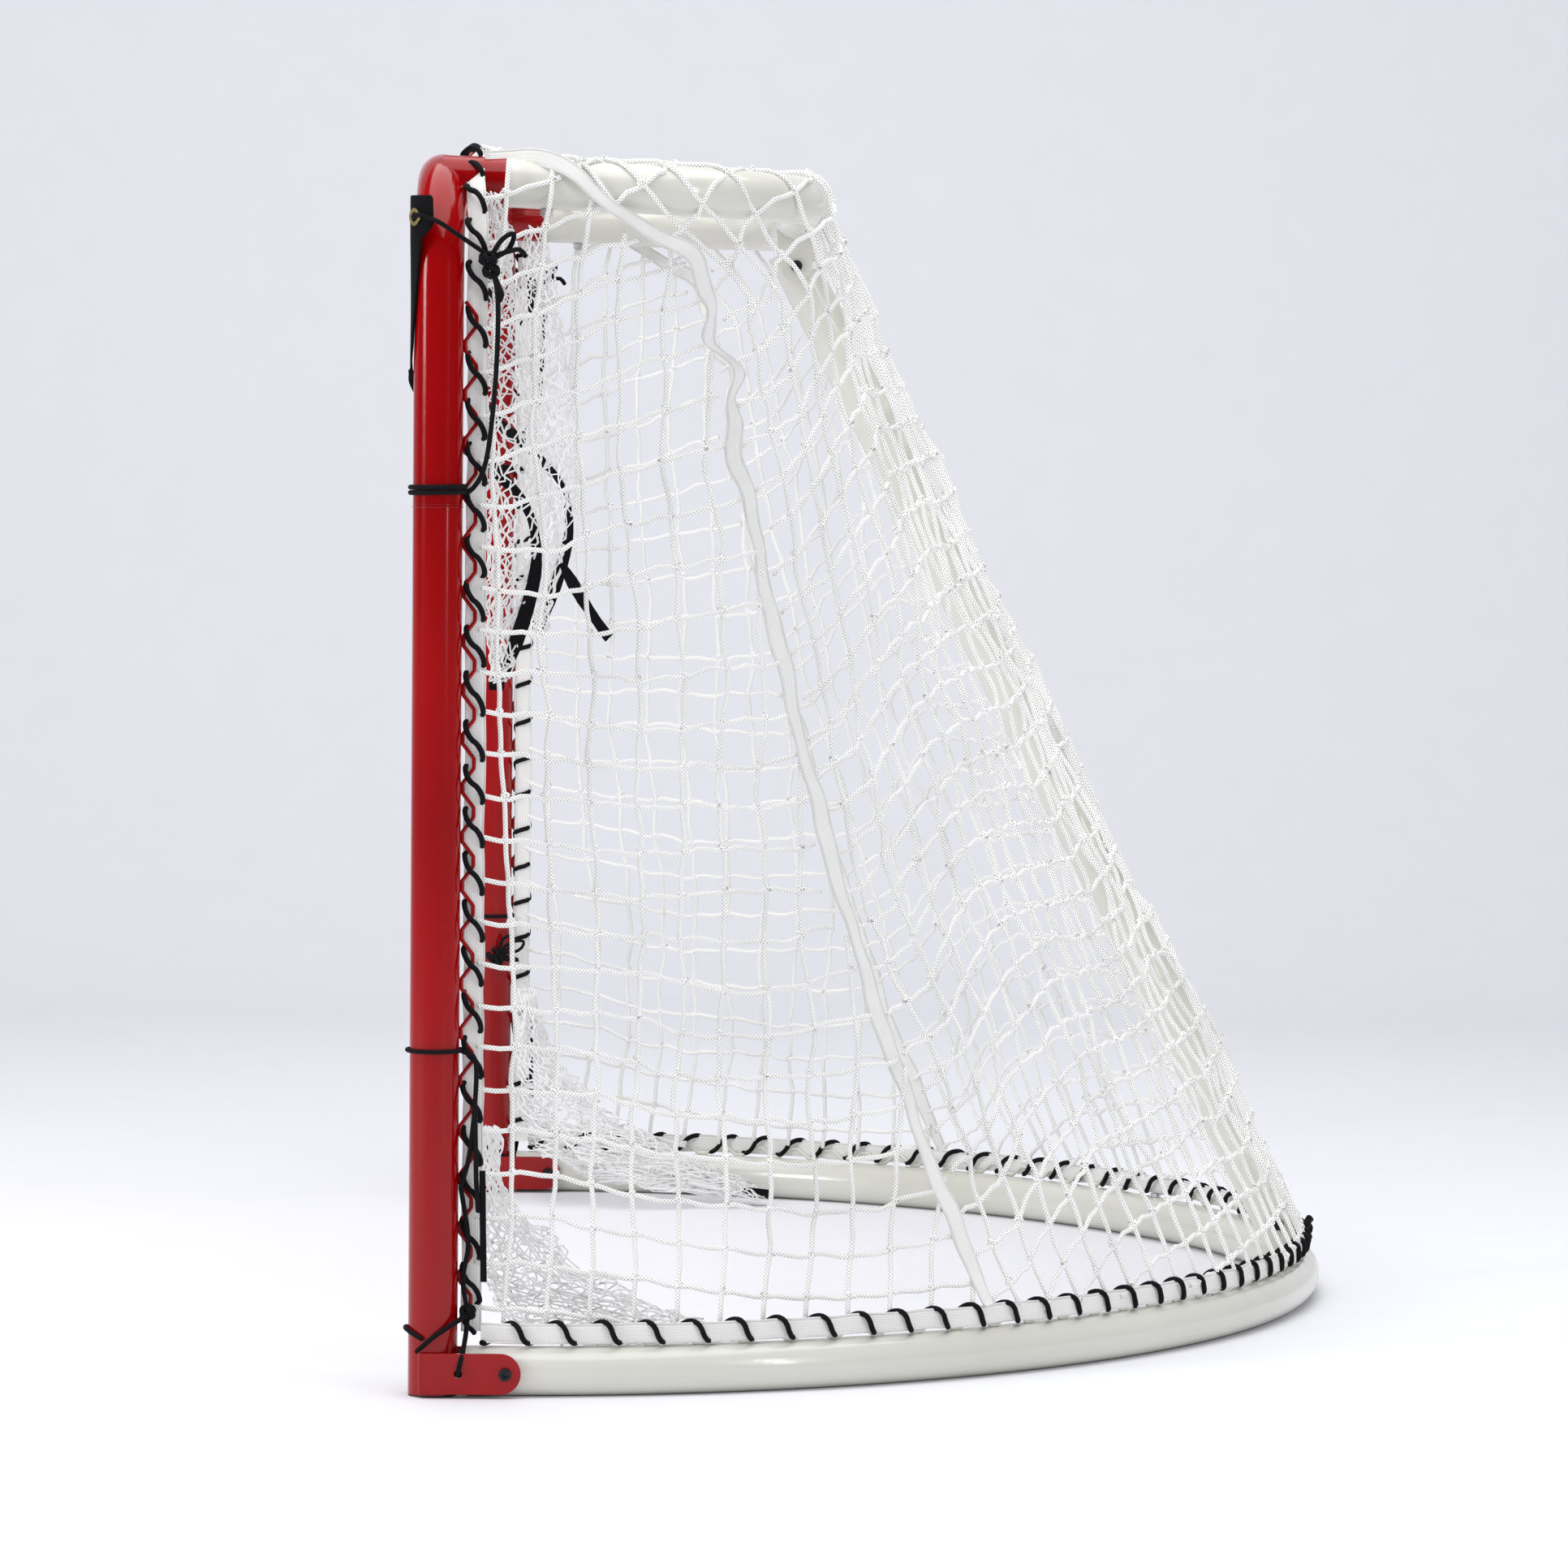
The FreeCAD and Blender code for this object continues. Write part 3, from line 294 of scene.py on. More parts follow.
class Mesher:
    """Collects tubes, strips and copies of a shape, and makes them one object."""

    def __init__(self):
        self.points = []
        self.faces = []
        self.uvs = []
        self.count = 0

    def add(self, points, faces, uvs):
        self.points.append(np.asarray(points, float))
        self.faces += [tuple(v + self.count for v in face) for face in faces]
        self.uvs += uvs
        self.count += len(points)

    def tube(self, path, radius, sides=7, closed=False):
        path = np.asarray(path, float)
        count = len(path)
        if count < 2:
            return
        if closed:
            ahead = np.roll(path, -1, 0) - np.roll(path, 1, 0)
        else:
            ahead = np.gradient(path, axis=0)
        ahead /= np.linalg.norm(ahead, axis=1)[:, None] + 1e-12
        across = np.zeros_like(path)
        seed = np.array([0.3, 0.5, 0.8])
        for n in range(count):
            seed = seed - ahead[n] * (seed @ ahead[n])
            seed = seed / (np.linalg.norm(seed) + 1e-12)
            across[n] = seed
        other = np.cross(ahead, across)
        radii = np.broadcast_to(np.asarray(radius, float), (count,))
        angles = np.arange(sides) * math.tau / sides
        ring = (
            across[:, None, :] * np.cos(angles)[None, :, None]
            + other[:, None, :] * np.sin(angles)[None, :, None]
        )
        points = (path[:, None, :] + ring * radii[:, None, None]).reshape(-1, 3)
        gaps = np.linalg.norm(np.diff(path, axis=0, append=path[:1]), axis=1)
        run = np.concatenate([[0], np.cumsum(gaps)])
        faces, uvs = [], []
        spans = count if closed else count - 1
        for n in range(spans):
            here, there = n * sides, ((n + 1) % count) * sides
            for k in range(sides):
                nxt = (k + 1) % sides
                faces.append((here + k, here + nxt, there + nxt, there + k))
                low, high = k / sides, (k + 1) / sides
                uvs += [(low, run[n]), (high, run[n]), (high, run[n + 1]), (low, run[n + 1])]
        if not closed:
            points = list(points)
            for ring_start, tip, flip in (
                (0, path[0] - ahead[0] * radii[0] * 0.6, True),
                ((count - 1) * sides, path[-1] + ahead[-1] * radii[-1] * 0.6, False),
            ):
                centre = len(points)
                points.append(tip)
                for k in range(sides):
                    a, b = ring_start + k, ring_start + (k + 1) % sides
                    faces.append((b, a, centre) if flip else (a, b, centre))
                    uvs += [(0, 0), (0.1, 0), (0, 0.001)]
        self.add(points, faces, uvs)

    def strip(self, path, side, face, width, thick, columns=4):
        """A band of cloth: side points across it and face out of it, at each point of its path."""
        path, side, face = (np.asarray(v, float) for v in (path, side, face))
        count = len(path)
        widths = np.broadcast_to(np.asarray(width, float), (count,))
        outline = []
        for k in range(columns + 1):
            outline.append((k / columns - 0.5, 0.5 if 0 < k < columns else 0.25))
        for k in range(columns, -1, -1):
            outline.append((k / columns - 0.5, -0.5 if 0 < k < columns else -0.25))
        size = len(outline)
        run = run_along(path)
        points = []
        for n in range(count):
            for u, v in outline:
                points.append(path[n] + side[n] * u * widths[n] + face[n] * v * thick)
        faces, uvs = [], []
        for n in range(count - 1):
            for k in range(size):
                nxt = (k + 1) % size
                faces.append((n * size + k, n * size + nxt, (n + 1) * size + nxt, (n + 1) * size + k))
                low, high = outline[k][0] * widths[n], outline[nxt][0] * widths[n]
                uvs += [(low, run[n]), (high, run[n]), (high, run[n + 1]), (low, run[n + 1])]
        for start, flip in ((0, False), ((count - 1) * size, True)):
            loop = [start + k for k in range(size)]
            for k in range(columns):
                quad = (loop[k], loop[k + 1], loop[size - 2 - k], loop[size - 1 - k])
                faces.append(quad if not flip else quad[::-1])
                uvs += [(0, 0), (0.001, 0), (0.001, 0.001), (0, 0.001)]
        self.add(points, faces, uvs)

    def copies(self, template, places):
        """Copies of another mesher's shape, one for each 3 x 4 placement."""
        shape = np.concatenate(template.points)
        faces = np.array(template.faces)
        for turn, spot in places:
            self.add(shape @ turn.T + spot, faces.tolist(), template.uvs)

    def build(self, name, material):
        mesh = bpy.data.meshes.new(name)
        mesh.from_pydata(np.concatenate(self.points).tolist(), [], self.faces)
        layer = mesh.uv_layers.new(name="UVMap")
        layer.data.foreach_set("uv", np.array(self.uvs, np.float32).ravel())
        mesh.polygons.foreach_set("use_smooth", [True] * len(mesh.polygons))
        mesh.materials.append(material)
        mesh.validate()
        made = bpy.data.objects.new(name, mesh)
        bpy.context.scene.collection.objects.link(made)
        return made


# Three far-apart readings of one noise field. noise_vector isn't used: it changes from run to run.
DRIFT_SHIFTS = [Vector((9.3, -1.5, -7.9)), Vector((0, 0, 0)), Vector((6.3, 0.2, -2.7))]


def drift(spot, amount, scale, seed=0.0):
    """Smooth wander of a point, the same in every run."""
    at = Vector(spot) * scale + Vector((seed, seed * 1.7, -seed))
    return np.array([noise.noise(at + shift) for shift in DRIFT_SHIFTS]) * amount


def smooth_path(points, step):
    """Catmull-Rom curve through a few points, at about even steps."""
    points = [np.asarray(p, float) for p in points]
    points = [2 * points[0] - points[1]] + points + [2 * points[-1] - points[-2]]
    out = []
    for a, b, c, d in zip(points, points[1:], points[2:], points[3:]):
        count = max(2, int(np.linalg.norm(c - b) / step))
        for t in np.linspace(0, 1, count, endpoint=False):
            out.append(
                0.5
                * (2 * b + (c - a) * t + (2 * a - 5 * b + 4 * c - d) * t**2 + (3 * b - a - 3 * c + d) * t**3)
            )
    out.append(points[-2])
    return np.array(out)


# ---------------------------------------------------------------- where the netting hangs

OVER = TUBE + 0.0035
SHELF_FLAT = SHELF_X - SHELF_BEND
SHELF_ARC = SHELF_BEND * math.pi / 2
# Distances along the shelf are measured from its rear middle, and drops down the cloth from its top.
EDGE_END = SHELF_FLAT + SHELF_ARC + (SHELF_REAR - SHELF_BEND - 0.045)
SEAM_EDGE = 0.9
SEAM_FOOT = 0.606  # share of the base's half length at which the seam meets it
SEAM_DROP = 0.085
WRAP = OVER * math.pi / 2
NET_OUT = 0.008  # how far outside the base's centre line the netting meets its tape
BAR_NET_X, BAR_NET_Y, BAR_NET_Z = 0.885, 0.034, 1.281  # front corner of the top netting
TOP_SAG = 0.010
WALL_SLACK = 0.010
SEAM_SLACK = 0.075  # more slack beside the seam, within this reach of it
SEAM_REACH = 0.5


def shelf_edge(distance):
    """Centre line of the shelf tube, at a distance from its rear middle, and its outward side."""
    run, side = abs(distance), math.copysign(1, distance)
    if run < SHELF_FLAT:
        x, y, nx, ny = run, SHELF_REAR, 0.0, 1.0
    elif run < SHELF_FLAT + SHELF_ARC:
        turn = (run - SHELF_FLAT) / SHELF_BEND
        nx, ny = math.sin(turn), math.cos(turn)
        x, y = SHELF_FLAT + SHELF_BEND * nx, SHELF_REAR - SHELF_BEND + SHELF_BEND * ny
    else:
        x, y, nx, ny = SHELF_X, SHELF_REAR - SHELF_BEND - (run - SHELF_FLAT - SHELF_ARC), 1.0, 0.0
    z = SHELF_Z - (y - SHELF_START) * SHELF_SLOPE
    return np.array([side * x, y, z]), np.array([side * nx, ny, 0.0])


def base_edge(share, outward=0.0, height=0.0):
    """The base's plan curve: share 0 is its rear middle and 1 its right end. Also its outward side."""
    angle = math.pi * (1 - share) / 2
    power = 2 / BASE_POWER
    cosine, sine = math.cos(angle), math.sin(angle)
    x = POST_X * math.copysign(abs(cosine) ** power, cosine)
    y = BASE_DEPTH * abs(sine) ** power
    slope_x = math.copysign((abs(x) / POST_X + 1e-9) ** (BASE_POWER - 1) / POST_X, x)
    slope_y = (y / BASE_DEPTH + 1e-9) ** (BASE_POWER - 1) / BASE_DEPTH
    side = np.array([slope_x, slope_y, 0.0])
    side /= np.linalg.norm(side)
    return np.array([x, y + BASE_START, height]) + side * outward, side


def foot_share(distance):
    run = abs(distance)
    if run < SEAM_EDGE:
        share = run / SEAM_EDGE * SEAM_FOOT
    else:
        share = SEAM_FOOT + (run - SEAM_EDGE) / (EDGE_END - SEAM_EDGE) * (1 - SEAM_FOOT)
    return math.copysign(share, distance)


def hang(distance, drop):
    """A point of the drape: drop is measured down the cloth from the top of the shelf tube."""
    centre, out = shelf_edge(distance)
    if drop < 0:
        edge = centre + np.array([0, 0, OVER])
        bar = np.array([BAR_NET_X * distance / EDGE_END, BAR_NET_Y, BAR_NET_Z])
        length = np.linalg.norm(bar - edge)
        share = -drop / length
        if share > 1:
            return None
        sag = np.array([0, 0, -TOP_SAG * 4 * share * (1 - share)])
        return edge + (bar - edge) * share + sag
    if drop < WRAP:
        turn = drop / OVER
        return centre + out * OVER * math.sin(turn) + np.array([0, 0, OVER * math.cos(turn)])
    top = centre + out * OVER
    foot, foot_out = base_edge(foot_share(distance), NET_OUT, TAPE_TOP)
    share = (drop - WRAP) / np.linalg.norm(foot - top)
    if share > 1.006:
        return None
    run = abs(distance)
    slack = WALL_SLACK + SEAM_SLACK * max(0.0, 1 - abs(run - SEAM_EDGE) / SEAM_REACH) ** 1.3
    inward = -(out * (1 - share) + foot_out * share)
    return top + (foot - top) * share + inward * slack * max(0.0, 4 * share * (1 - share)) ** 0.9


def wall_length(distance):
    centre, out = shelf_edge(distance)
    foot, _ = base_edge(foot_share(distance), NET_OUT, TAPE_TOP)
    return WRAP + np.linalg.norm(foot - centre - out * OVER)


def seam_drop(distance):
    """How far down the drape its front seam lies: on top of the arm at its front, then falling."""
    fall = 1 - (abs(distance) - SEAM_EDGE) / (EDGE_END - 0.04 - SEAM_EDGE)
    return -0.006 + (WRAP + SEAM_DROP + 0.006) * max(0.0, fall)


def seam_path():
    """The seam between the drape and the right side: down over the shelf's arm, then to the base."""
    points = []
    for distance in np.linspace(EDGE_END, SEAM_EDGE, 22, endpoint=False):
        points.append(hang(distance, seam_drop(distance)))
    for drop in np.linspace(WRAP + SEAM_DROP, wall_length(SEAM_EDGE) - 0.0005, 90):
        points.append(hang(SEAM_EDGE, drop))
    return np.array(points)


SEAM = seam_path()
SEAM_Z = SEAM[::-1, 2]
SEAM_X = SEAM[::-1, 0]
SEAM_Y = SEAM[::-1, 1]
SIDE_FRONT = 0.046
SIDE_BULGE = 0.052  # outward at the floor, and a little inward at the top
SIDE_TUCK = 0.012
TUCKED = 0.009  # how far the netting runs down behind the base's tape


def side_point(y, z):
    """A point of the right side netting, or None past its seam."""
    seam_x, seam_y = np.interp(z, SEAM_Z, SEAM_X), np.interp(z, SEAM_Z, SEAM_Y)
    if y > seam_y or z > SEAM_Z[-1] or z < TAPE_TOP - TUCKED:
        return None
    share = (y - SIDE_FRONT) / max(seam_y - SIDE_FRONT, 1e-4)
    bulge = SIDE_BULGE * max(0.0, 1 - (z - TAPE_TOP) / 1.1) ** 1.6 - SIDE_TUCK
    front_x = POST_X - 0.004 - 0.03 * max(0.0, (z - 1.1) / 0.17)
    return np.array([front_x + (seam_x - front_x) * share + bulge * 4 * share * (1 - share), y, z])


# ---------------------------------------------------------------- netting

CORD_R = 0.0026
SQUARE = 0.044
FINE = 4  # points along a cord in each square


def wander(spot):
    """Slack of the netting at a point: more in the middle of a panel than at its laced edges."""
    x, y, z = spot
    free = min(1.0, (z - TAPE_TOP) / 0.12) * min(1.0, max(0.0, (1.25 - z) / 0.10) + 0.25)
    free *= min(1.0, abs(y - 0.03) / 0.10 + 0.15)
    return (drift(spot, 0.016, 3.1) + drift(spot, 0.010, 9.0, 5.0) + drift(spot, 0.005, 27.0, 9.0)) * free


def cords(mesher, line_of, first, last, step, sag):
    """One cord: line_of gives its points, broken where the cloth ends."""
    runs, current = [], []
    for value in np.arange(first, last + 1e-9, step):
        spot = line_of(value)
        if spot is None:
            if len(current) > 2:
                runs.append(current)
            current = []
        else:
            loose = wander(spot)
            phase = abs(math.sin(math.pi * value / SQUARE))
            current.append(spot + loose - np.array([0, 0, sag * phase]))
    if len(current) > 2:
        runs.append(current)
    for run in runs:
        mesher.tube(run, CORD_R)


def knot_shape():
    """A small tight knot: one closed loop wound over itself."""
    shape = Mesher()
    turns = np.linspace(0, math.tau, 16, endpoint=False)
    path = [
        (0.0026 * math.cos(t) + 0.0012 * math.cos(2 * t), 0.0026 * math.sin(t), 0.0014 * math.sin(2 * t))
        for t in turns
    ]
    shape.tube(path, 0.0021, 6, closed=True)
    return shape


KNOT = knot_shape()


def tie_knots(mesher, spots):
    places = []
    for spot in spots:
        turn = np.array(
            Matrix.Rotation(random.uniform(0, math.tau), 3, "Z")
            @ Matrix.Rotation(random.uniform(-0.6, 0.6) + math.pi / 2, 3, "X")
            @ Matrix.Rotation(random.uniform(0, math.tau), 3, "Z")
        )
        places.append((turn * random.uniform(0.85, 1.15), spot + wander(spot)))
    mesher.copies(KNOT, places)


SKEW_START = SHELF_FLAT - 0.06
SKEW_EASE = 0.22
SKEW_PULL = 0.50
SKEW_SLIDE = 0.75
ROOF_REACH = 0.46  # of the drape over the top, forward to the crossbar
WALL_DROP = 1.44
SIDE_REACH = 1.2
ROOF_ROWS = 10
ROW_COUNT = 43


def lean(distance, drop):
    """Where a crossing lies on the drape. Towards the front corners the cloth is pulled askew."""
    past = max(0.0, abs(distance) - SKEW_START)
    ease = min(1.0, past / SKEW_EASE)
    pulled = drop + SKEW_PULL * past * ease
    slide = SKEW_SLIDE * min(0.30, max(0.0, 0.16 - pulled)) * ease * ease * (3 - 2 * ease)
    turned = distance + math.copysign(slide, distance)
    if abs(turned) > EDGE_END:
        return None
    if abs(turned) > SEAM_EDGE and pulled > seam_drop(turned):
        return None
    return hang(turned, pulled)


drape = Mesher()
spots = []
columns = int(EDGE_END / SQUARE) + 1
for n in range(-columns, columns + 1):
    here = (n + 0.5) * SQUARE
    cords(drape, lambda d, a=here: lean(a, d), -ROOF_REACH, WALL_DROP, SQUARE / FINE, 0.0)
rows = [k * SQUARE - ROOF_ROWS * SQUARE for k in range(ROW_COUNT)]
for drop in rows:
    cords(drape, lambda a, d=drop: lean(a, d), -SIDE_REACH, SIDE_REACH, SQUARE / FINE, 0.004)
    for n in range(-columns, columns + 1):
        spot = lean((n + 0.5) * SQUARE, drop)
        if spot is not None:
            spots.append(spot)
tie_knots(drape, spots)
drape_net = drape.build("drape_netting", CORD)


def ripple(y, z):
    """Rows of the side netting dip between their ends, more towards the floor."""
    low = max(0.0, 1 - z / 0.9)
    high = min(1.0, max(0.0, (z - 0.72) / 0.3))
    rise = 0.24 * high * (y - SIDE_FRONT) - 0.10 * low * y + 0.05 * low * max(0.0, y - 0.25)
    return z + 0.010 * math.sin(y * 11 + z * 4) + rise


SIDE_TOP = 1.275
SIDE_COLUMNS = [SIDE_FRONT + 0.022 + k * SQUARE for k in range(13)]
SIDE_ROWS = [SIDE_TOP - k * SQUARE for k in range(30)]


def sway(y, z):
    """Upright cords of the side netting wave a little as they fall."""
    return y + 0.012 * math.sin(z * 5)


side_nets = {}
for label, mirror in (("right", RIGHT), ("left", LEFT)):
    panel = Mesher()
    spots = []

    def place(y, z, mirror=mirror):
        spot = side_point(y, ripple(y, z))
        return None if spot is None else spot * mirror

    for y in SIDE_COLUMNS:
        cords(panel, lambda z, y=y: place(sway(y, z), z), 0.03, 1.30, SQUARE / FINE, 0.0)
    for z in SIDE_ROWS:
        cords(panel, lambda y, z=z: place(y, z), SIDE_FRONT - 0.004, 0.62, SQUARE / FINE, 0.003)
        for y in SIDE_COLUMNS:
            spot = place(sway(y, z), z)
            if spot is not None:
                spots.append(spot)
    tie_knots(panel, spots)
    side_nets[label] = panel.build("side_netting_" + label, CORD)

# ---------------------------------------------------------------- seam tapes


GOAL_MIDDLE = np.array([0.0, 0.2, 0.6])
RUFFLE_AT, RUFFLE_SPAN = 0.37, 0.10  # distances along the seam
SEAM_THICK = 0.0022


def seam_band(mirror):
    """Doubled tape over the seam, ruffled where the shelf's corner slackens it."""
    band = Mesher()
    path = smooth_path([*SEAM[:-2:4], SEAM[-1]], 0.006)
    side, out = beside(path, (path - GOAL_MIDDLE) * np.array([1, 1, 0.15]))
    run = run_along(path)
    ruffle = np.exp(-(((run - RUFFLE_AT) / RUFFLE_SPAN) ** 2)) + 0.16
    wave = np.sin(run * 95) * 0.0040 * ruffle + np.sin(run * 41 + 1) * 0.0070 * ruffle
    path = path + out * (0.0045 + np.abs(wave)[:, None]) + side * wave[:, None] * 1.3
    twist = np.sin(run * 63 + 0.5) * 0.8 * ruffle
    side_turned = side * np.cos(twist)[:, None] + out * np.sin(twist)[:, None]
    out_turned = out * np.cos(twist)[:, None] - side * np.sin(twist)[:, None]
    widths = 0.0135 + 0.003 * np.sin(run * 30)
    band.strip(path * mirror, side_turned * mirror, out_turned * mirror, widths, SEAM_THICK, 6)
    for hand in (-1, 1):
        edge = path + side_turned * (widths * 0.5 * hand)[:, None]
        band.tube(edge * mirror, 0.0014, 6)
    return band


seam_objects = []
for label, mirror in (("right", RIGHT), ("left", LEFT)):
    seam_objects.append(seam_band(mirror).build("seam_tape_" + label, TAPE))

# ---------------------------------------------------------------- laced tapes


LACE_R = 0.0029
LACE_STEP = 0.0022
LACE_PITCH = 0.0465
LACE_START = 0.3
POST_LACE_FRONT = 0.80
BASE_LACE_FRONT = 0.36
TAPE_WIDE = 0.019
TAPE_WANDER = 0.0022
TAPE_THICK = 0.0022
HEM_R = 0.0013
TAPE_BACK = TUBE + 0.0138  # from a tube's centre line to the middle of its tape
BASE_TAPE_Z = 0.0643
BASE_TAPE_OUT = 0.0078


def lace(path, up, out, half_wide, half_thick, front, seed):
    """Cord wound round a tape and its rail: across the tape outside, which takes the front share of
    each turn's travel, and back behind it."""
    run = run_along(path)
    spots = []
    for distance in np.arange(0, run[-1], LACE_STEP):
        wobble = noise.noise(Vector((distance * 9, seed, 0))) * 0.12
        part = (distance / LACE_PITCH + LACE_START + wobble) % 1.0
        if part < front:
            angle = math.pi * part / front
        else:
            angle = math.pi + math.pi * (part - front) / (1 - front)
        cosine, sine = math.cos(angle), math.sin(angle)
        cosine = math.copysign(abs(cosine) ** 0.75, cosine)
        sine = math.copysign(abs(sine) ** 0.75, sine)
        wide = half_wide * (1 + 0.14 * noise.noise(Vector((distance * 21, seed, 3))))
        centre, across, outward = (
            np.array([np.interp(distance, run, line[:, k]) for k in range(3)])
            for line in (path, up, out)
        )
        spots.append(centre + across * wide * cosine + outward * half_thick * sine)
    return np.array(spots)


CORNER = 0.115
CORNER_Z = BAR_Z - CORNER
CORNER_X = POST_X - CORNER


def frame_line(sideways, outward):
    """Line beside the right post, round the corner and along the crossbar, with its directions.

    The tape stands behind the post, and turns to stand up and back from the crossbar.
    """
    spots, ups, outs = [], [], []

    def note(centre, radial, turn):
        back = np.array([0, 1.0, 0])
        up = back * math.cos(turn) + radial * math.sin(turn)
        out = radial * math.cos(turn) - back * math.sin(turn)
        spots.append(centre + up * outward + out * sideways)
        ups.append(up)
        outs.append(out)

    for z in np.linspace(0.064, CORNER_Z, 150, endpoint=False):
        note(np.array([POST_X, 0, z]), np.array([1.0, 0, 0]), 0.0)
    for turn in np.linspace(0, math.pi / 2, 30, endpoint=False):
        radial = np.array([math.cos(turn), 0, math.sin(turn)])
        centre = np.array([CORNER_X, 0, CORNER_Z]) + radial * CORNER
        note(centre, radial, turn / 2)
    for x in np.linspace(CORNER_X, 0, 110):
        note(np.array([x, 0, BAR_Z]), np.array([0, 0, 1.0]), math.pi / 4)
    return tuple(np.array(v) for v in (spots, ups, outs))


def hemmed_tape(mesher, line, side, out, mirror, seed):
    """A tape with a rolled hem along each edge, wandering a little."""
    line = np.array([p + drift(p * mirror, TAPE_WANDER, 24, seed) for p in line])
    mesher.strip(line * mirror, side * mirror, out * mirror, TAPE_WIDE, TAPE_THICK, 6)
    for hand in (-1, 1):
        mesher.tube((line + side * TAPE_WIDE / 2 * hand) * mirror, HEM_R, 6)


frame_band = Mesher()
frame_cord = Mesher()
for mirror in (RIGHT, LEFT):
    line, ups, outs = frame_line(-0.0042, TAPE_BACK)
    hemmed_tape(frame_band, line, ups, outs, mirror, 2.0)
    line, ups, outs = frame_line(-0.0010, TAPE_BACK - 0.0006)
    path = lace(line, ups, outs, 0.0092, 0.0066, POST_LACE_FRONT, 3.0 + mirror[0])
    frame_cord.tube(path * mirror, LACE_R, 8)
frame_tape = frame_band.build("frame_tape_cloth", TAPE)
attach(frame_tape, "front_frame")
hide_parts("post_tape_left", "post_tape_right", "crossbar_tape")
frame_lacing = frame_cord.build("frame_lacing_cord", BLACK_CORD)
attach(frame_lacing, "front_frame")
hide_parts("post_lacing_left", "post_lacing_right", "crossbar_lacing")


def base_line(outward, height):
    """Line beside the base from just behind the right post to its rear middle, and its outward side."""
    pairs = []
    for y in np.linspace(0.050, BASE_START, 6, endpoint=False):
        pairs.append((np.array([POST_X + outward, y, height]), np.array([1.0, 0, 0])))
    pairs += [base_edge(share, outward, height) for share in np.linspace(1.0, 0.0, 262)]
    return np.array([p for p, _ in pairs]), np.array([o for _, o in pairs])


def hold_front(piece):
    """Bakes the piece's placement into its mesh; nothing here holds its front or folds the rest."""
    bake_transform(piece)


base_band = Mesher()
base_cord = Mesher()
for mirror in (RIGHT, LEFT):
    line, outs = base_line(BASE_TAPE_OUT, BASE_TAPE_Z)
    ups = np.tile([0, 0, 1.0], (len(line), 1))
    hemmed_tape(base_band, line, ups, outs, mirror, 4.0)
    line, outs = base_line(BASE_TAPE_OUT - 0.0016, BASE_TAPE_Z + 0.0005)
    path = lace(line, ups, outs, 0.0105, 0.0068, BASE_LACE_FRONT, 21.0)
    base_cord.tube(path * mirror, LACE_R, 8)
base_tape = base_band.build("base_tape_cloth", TAPE)
hold_front(base_tape)
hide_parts("base_tape")
base_lace = base_cord.build("base_lacing_cord", BLACK_CORD)
hold_front(base_lace)
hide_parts("base_lacing")

# ---------------------------------------------------------------- netting baked in place


def fold_with_base(piece):
    """Bakes the piece's placement into its mesh and reads out its points; none is moved."""
    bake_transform(piece)
    spots = np.zeros(len(piece.data.vertices) * 3, np.float32)
    piece.data.vertices.foreach_get("co", spots)
    spots = spots.reshape(-1, 3)


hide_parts("net_top", "net_back")
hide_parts("net_side_right")
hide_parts("net_side_left")
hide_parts("seam_tapes")
for piece in [drape_net, *side_nets.values(), *seam_objects]:
    fold_with_base(piece)

# ---------------------------------------------------------------- corner pockets


STRAND_R = 0.0010


def bag(rings, mirror, lines, slant, seed):
    """Fine mesh bag. rings are (centre, half x, half y) from its mouth down."""
    made = Mesher()
    levels = np.linspace(0, 1, len(rings))
    centres = np.array([r[0] for r in rings]) * mirror
    halves = np.array([r[1:] for r in rings])

    def at(turn, level):
        centre = np.array([np.interp(level, levels, centres[:, k]) for k in range(3)])
        half = [np.interp(level, levels, halves[:, k]) for k in range(2)]
        angle = turn * math.tau
        fold = 1 + 0.16 * math.sin(angle * 5 + level * 6 + seed) + 0.10 * math.sin(angle * 9 - level * 11)
        spot = centre + np.array([half[0] * math.cos(angle) * fold, half[1] * math.sin(angle) * fold, 0])
        return spot + drift(spot, 0.010, 26, seed) + drift(spot, 0.005, 90, seed + 3)

    length = sum(np.linalg.norm(b - a) for a, b in zip(centres, centres[1:]))
    steps = int(length / 0.006)
    for hand in (-1, 1):
        for n in range(lines):
            path = []
            for step in range(steps + 1):
                level = step / steps
                zigzag = 0.25 / lines * math.sin(level * slant * lines * math.tau)
                path.append(at(n / lines + hand * level * slant + zigzag, level))
            made.tube(path, STRAND_R, 5)
    return made


TOP_RINGS = [
    ((0.868, 0.050, 1.232), 0.040, 0.010),
    ((0.865, 0.054, 1.165), 0.050, 0.018),
    ((0.855, 0.060, 1.100), 0.045, 0.024),
    ((0.845, 0.070, 1.020), 0.040, 0.030),
    ((0.830, 0.078, 0.930), 0.034, 0.032),
    ((0.815, 0.070, 0.840), 0.026, 0.022),
    ((0.810, 0.062, 0.760), 0.016, 0.014),
    ((0.808, 0.057, 0.722), 0.009, 0.009),
]
LOW_RINGS = [
    ((0.850, 0.050, 0.262), 0.026, 0.008),
    ((0.845, 0.058, 0.185), 0.042, 0.018),
    ((0.825, 0.092, 0.115), 0.062, 0.048),
    ((0.800, 0.160, 0.062), 0.072, 0.080),
    ((0.785, 0.245, 0.030), 0.055, 0.072),
    ((0.785, 0.325, 0.014), 0.030, 0.030),
]
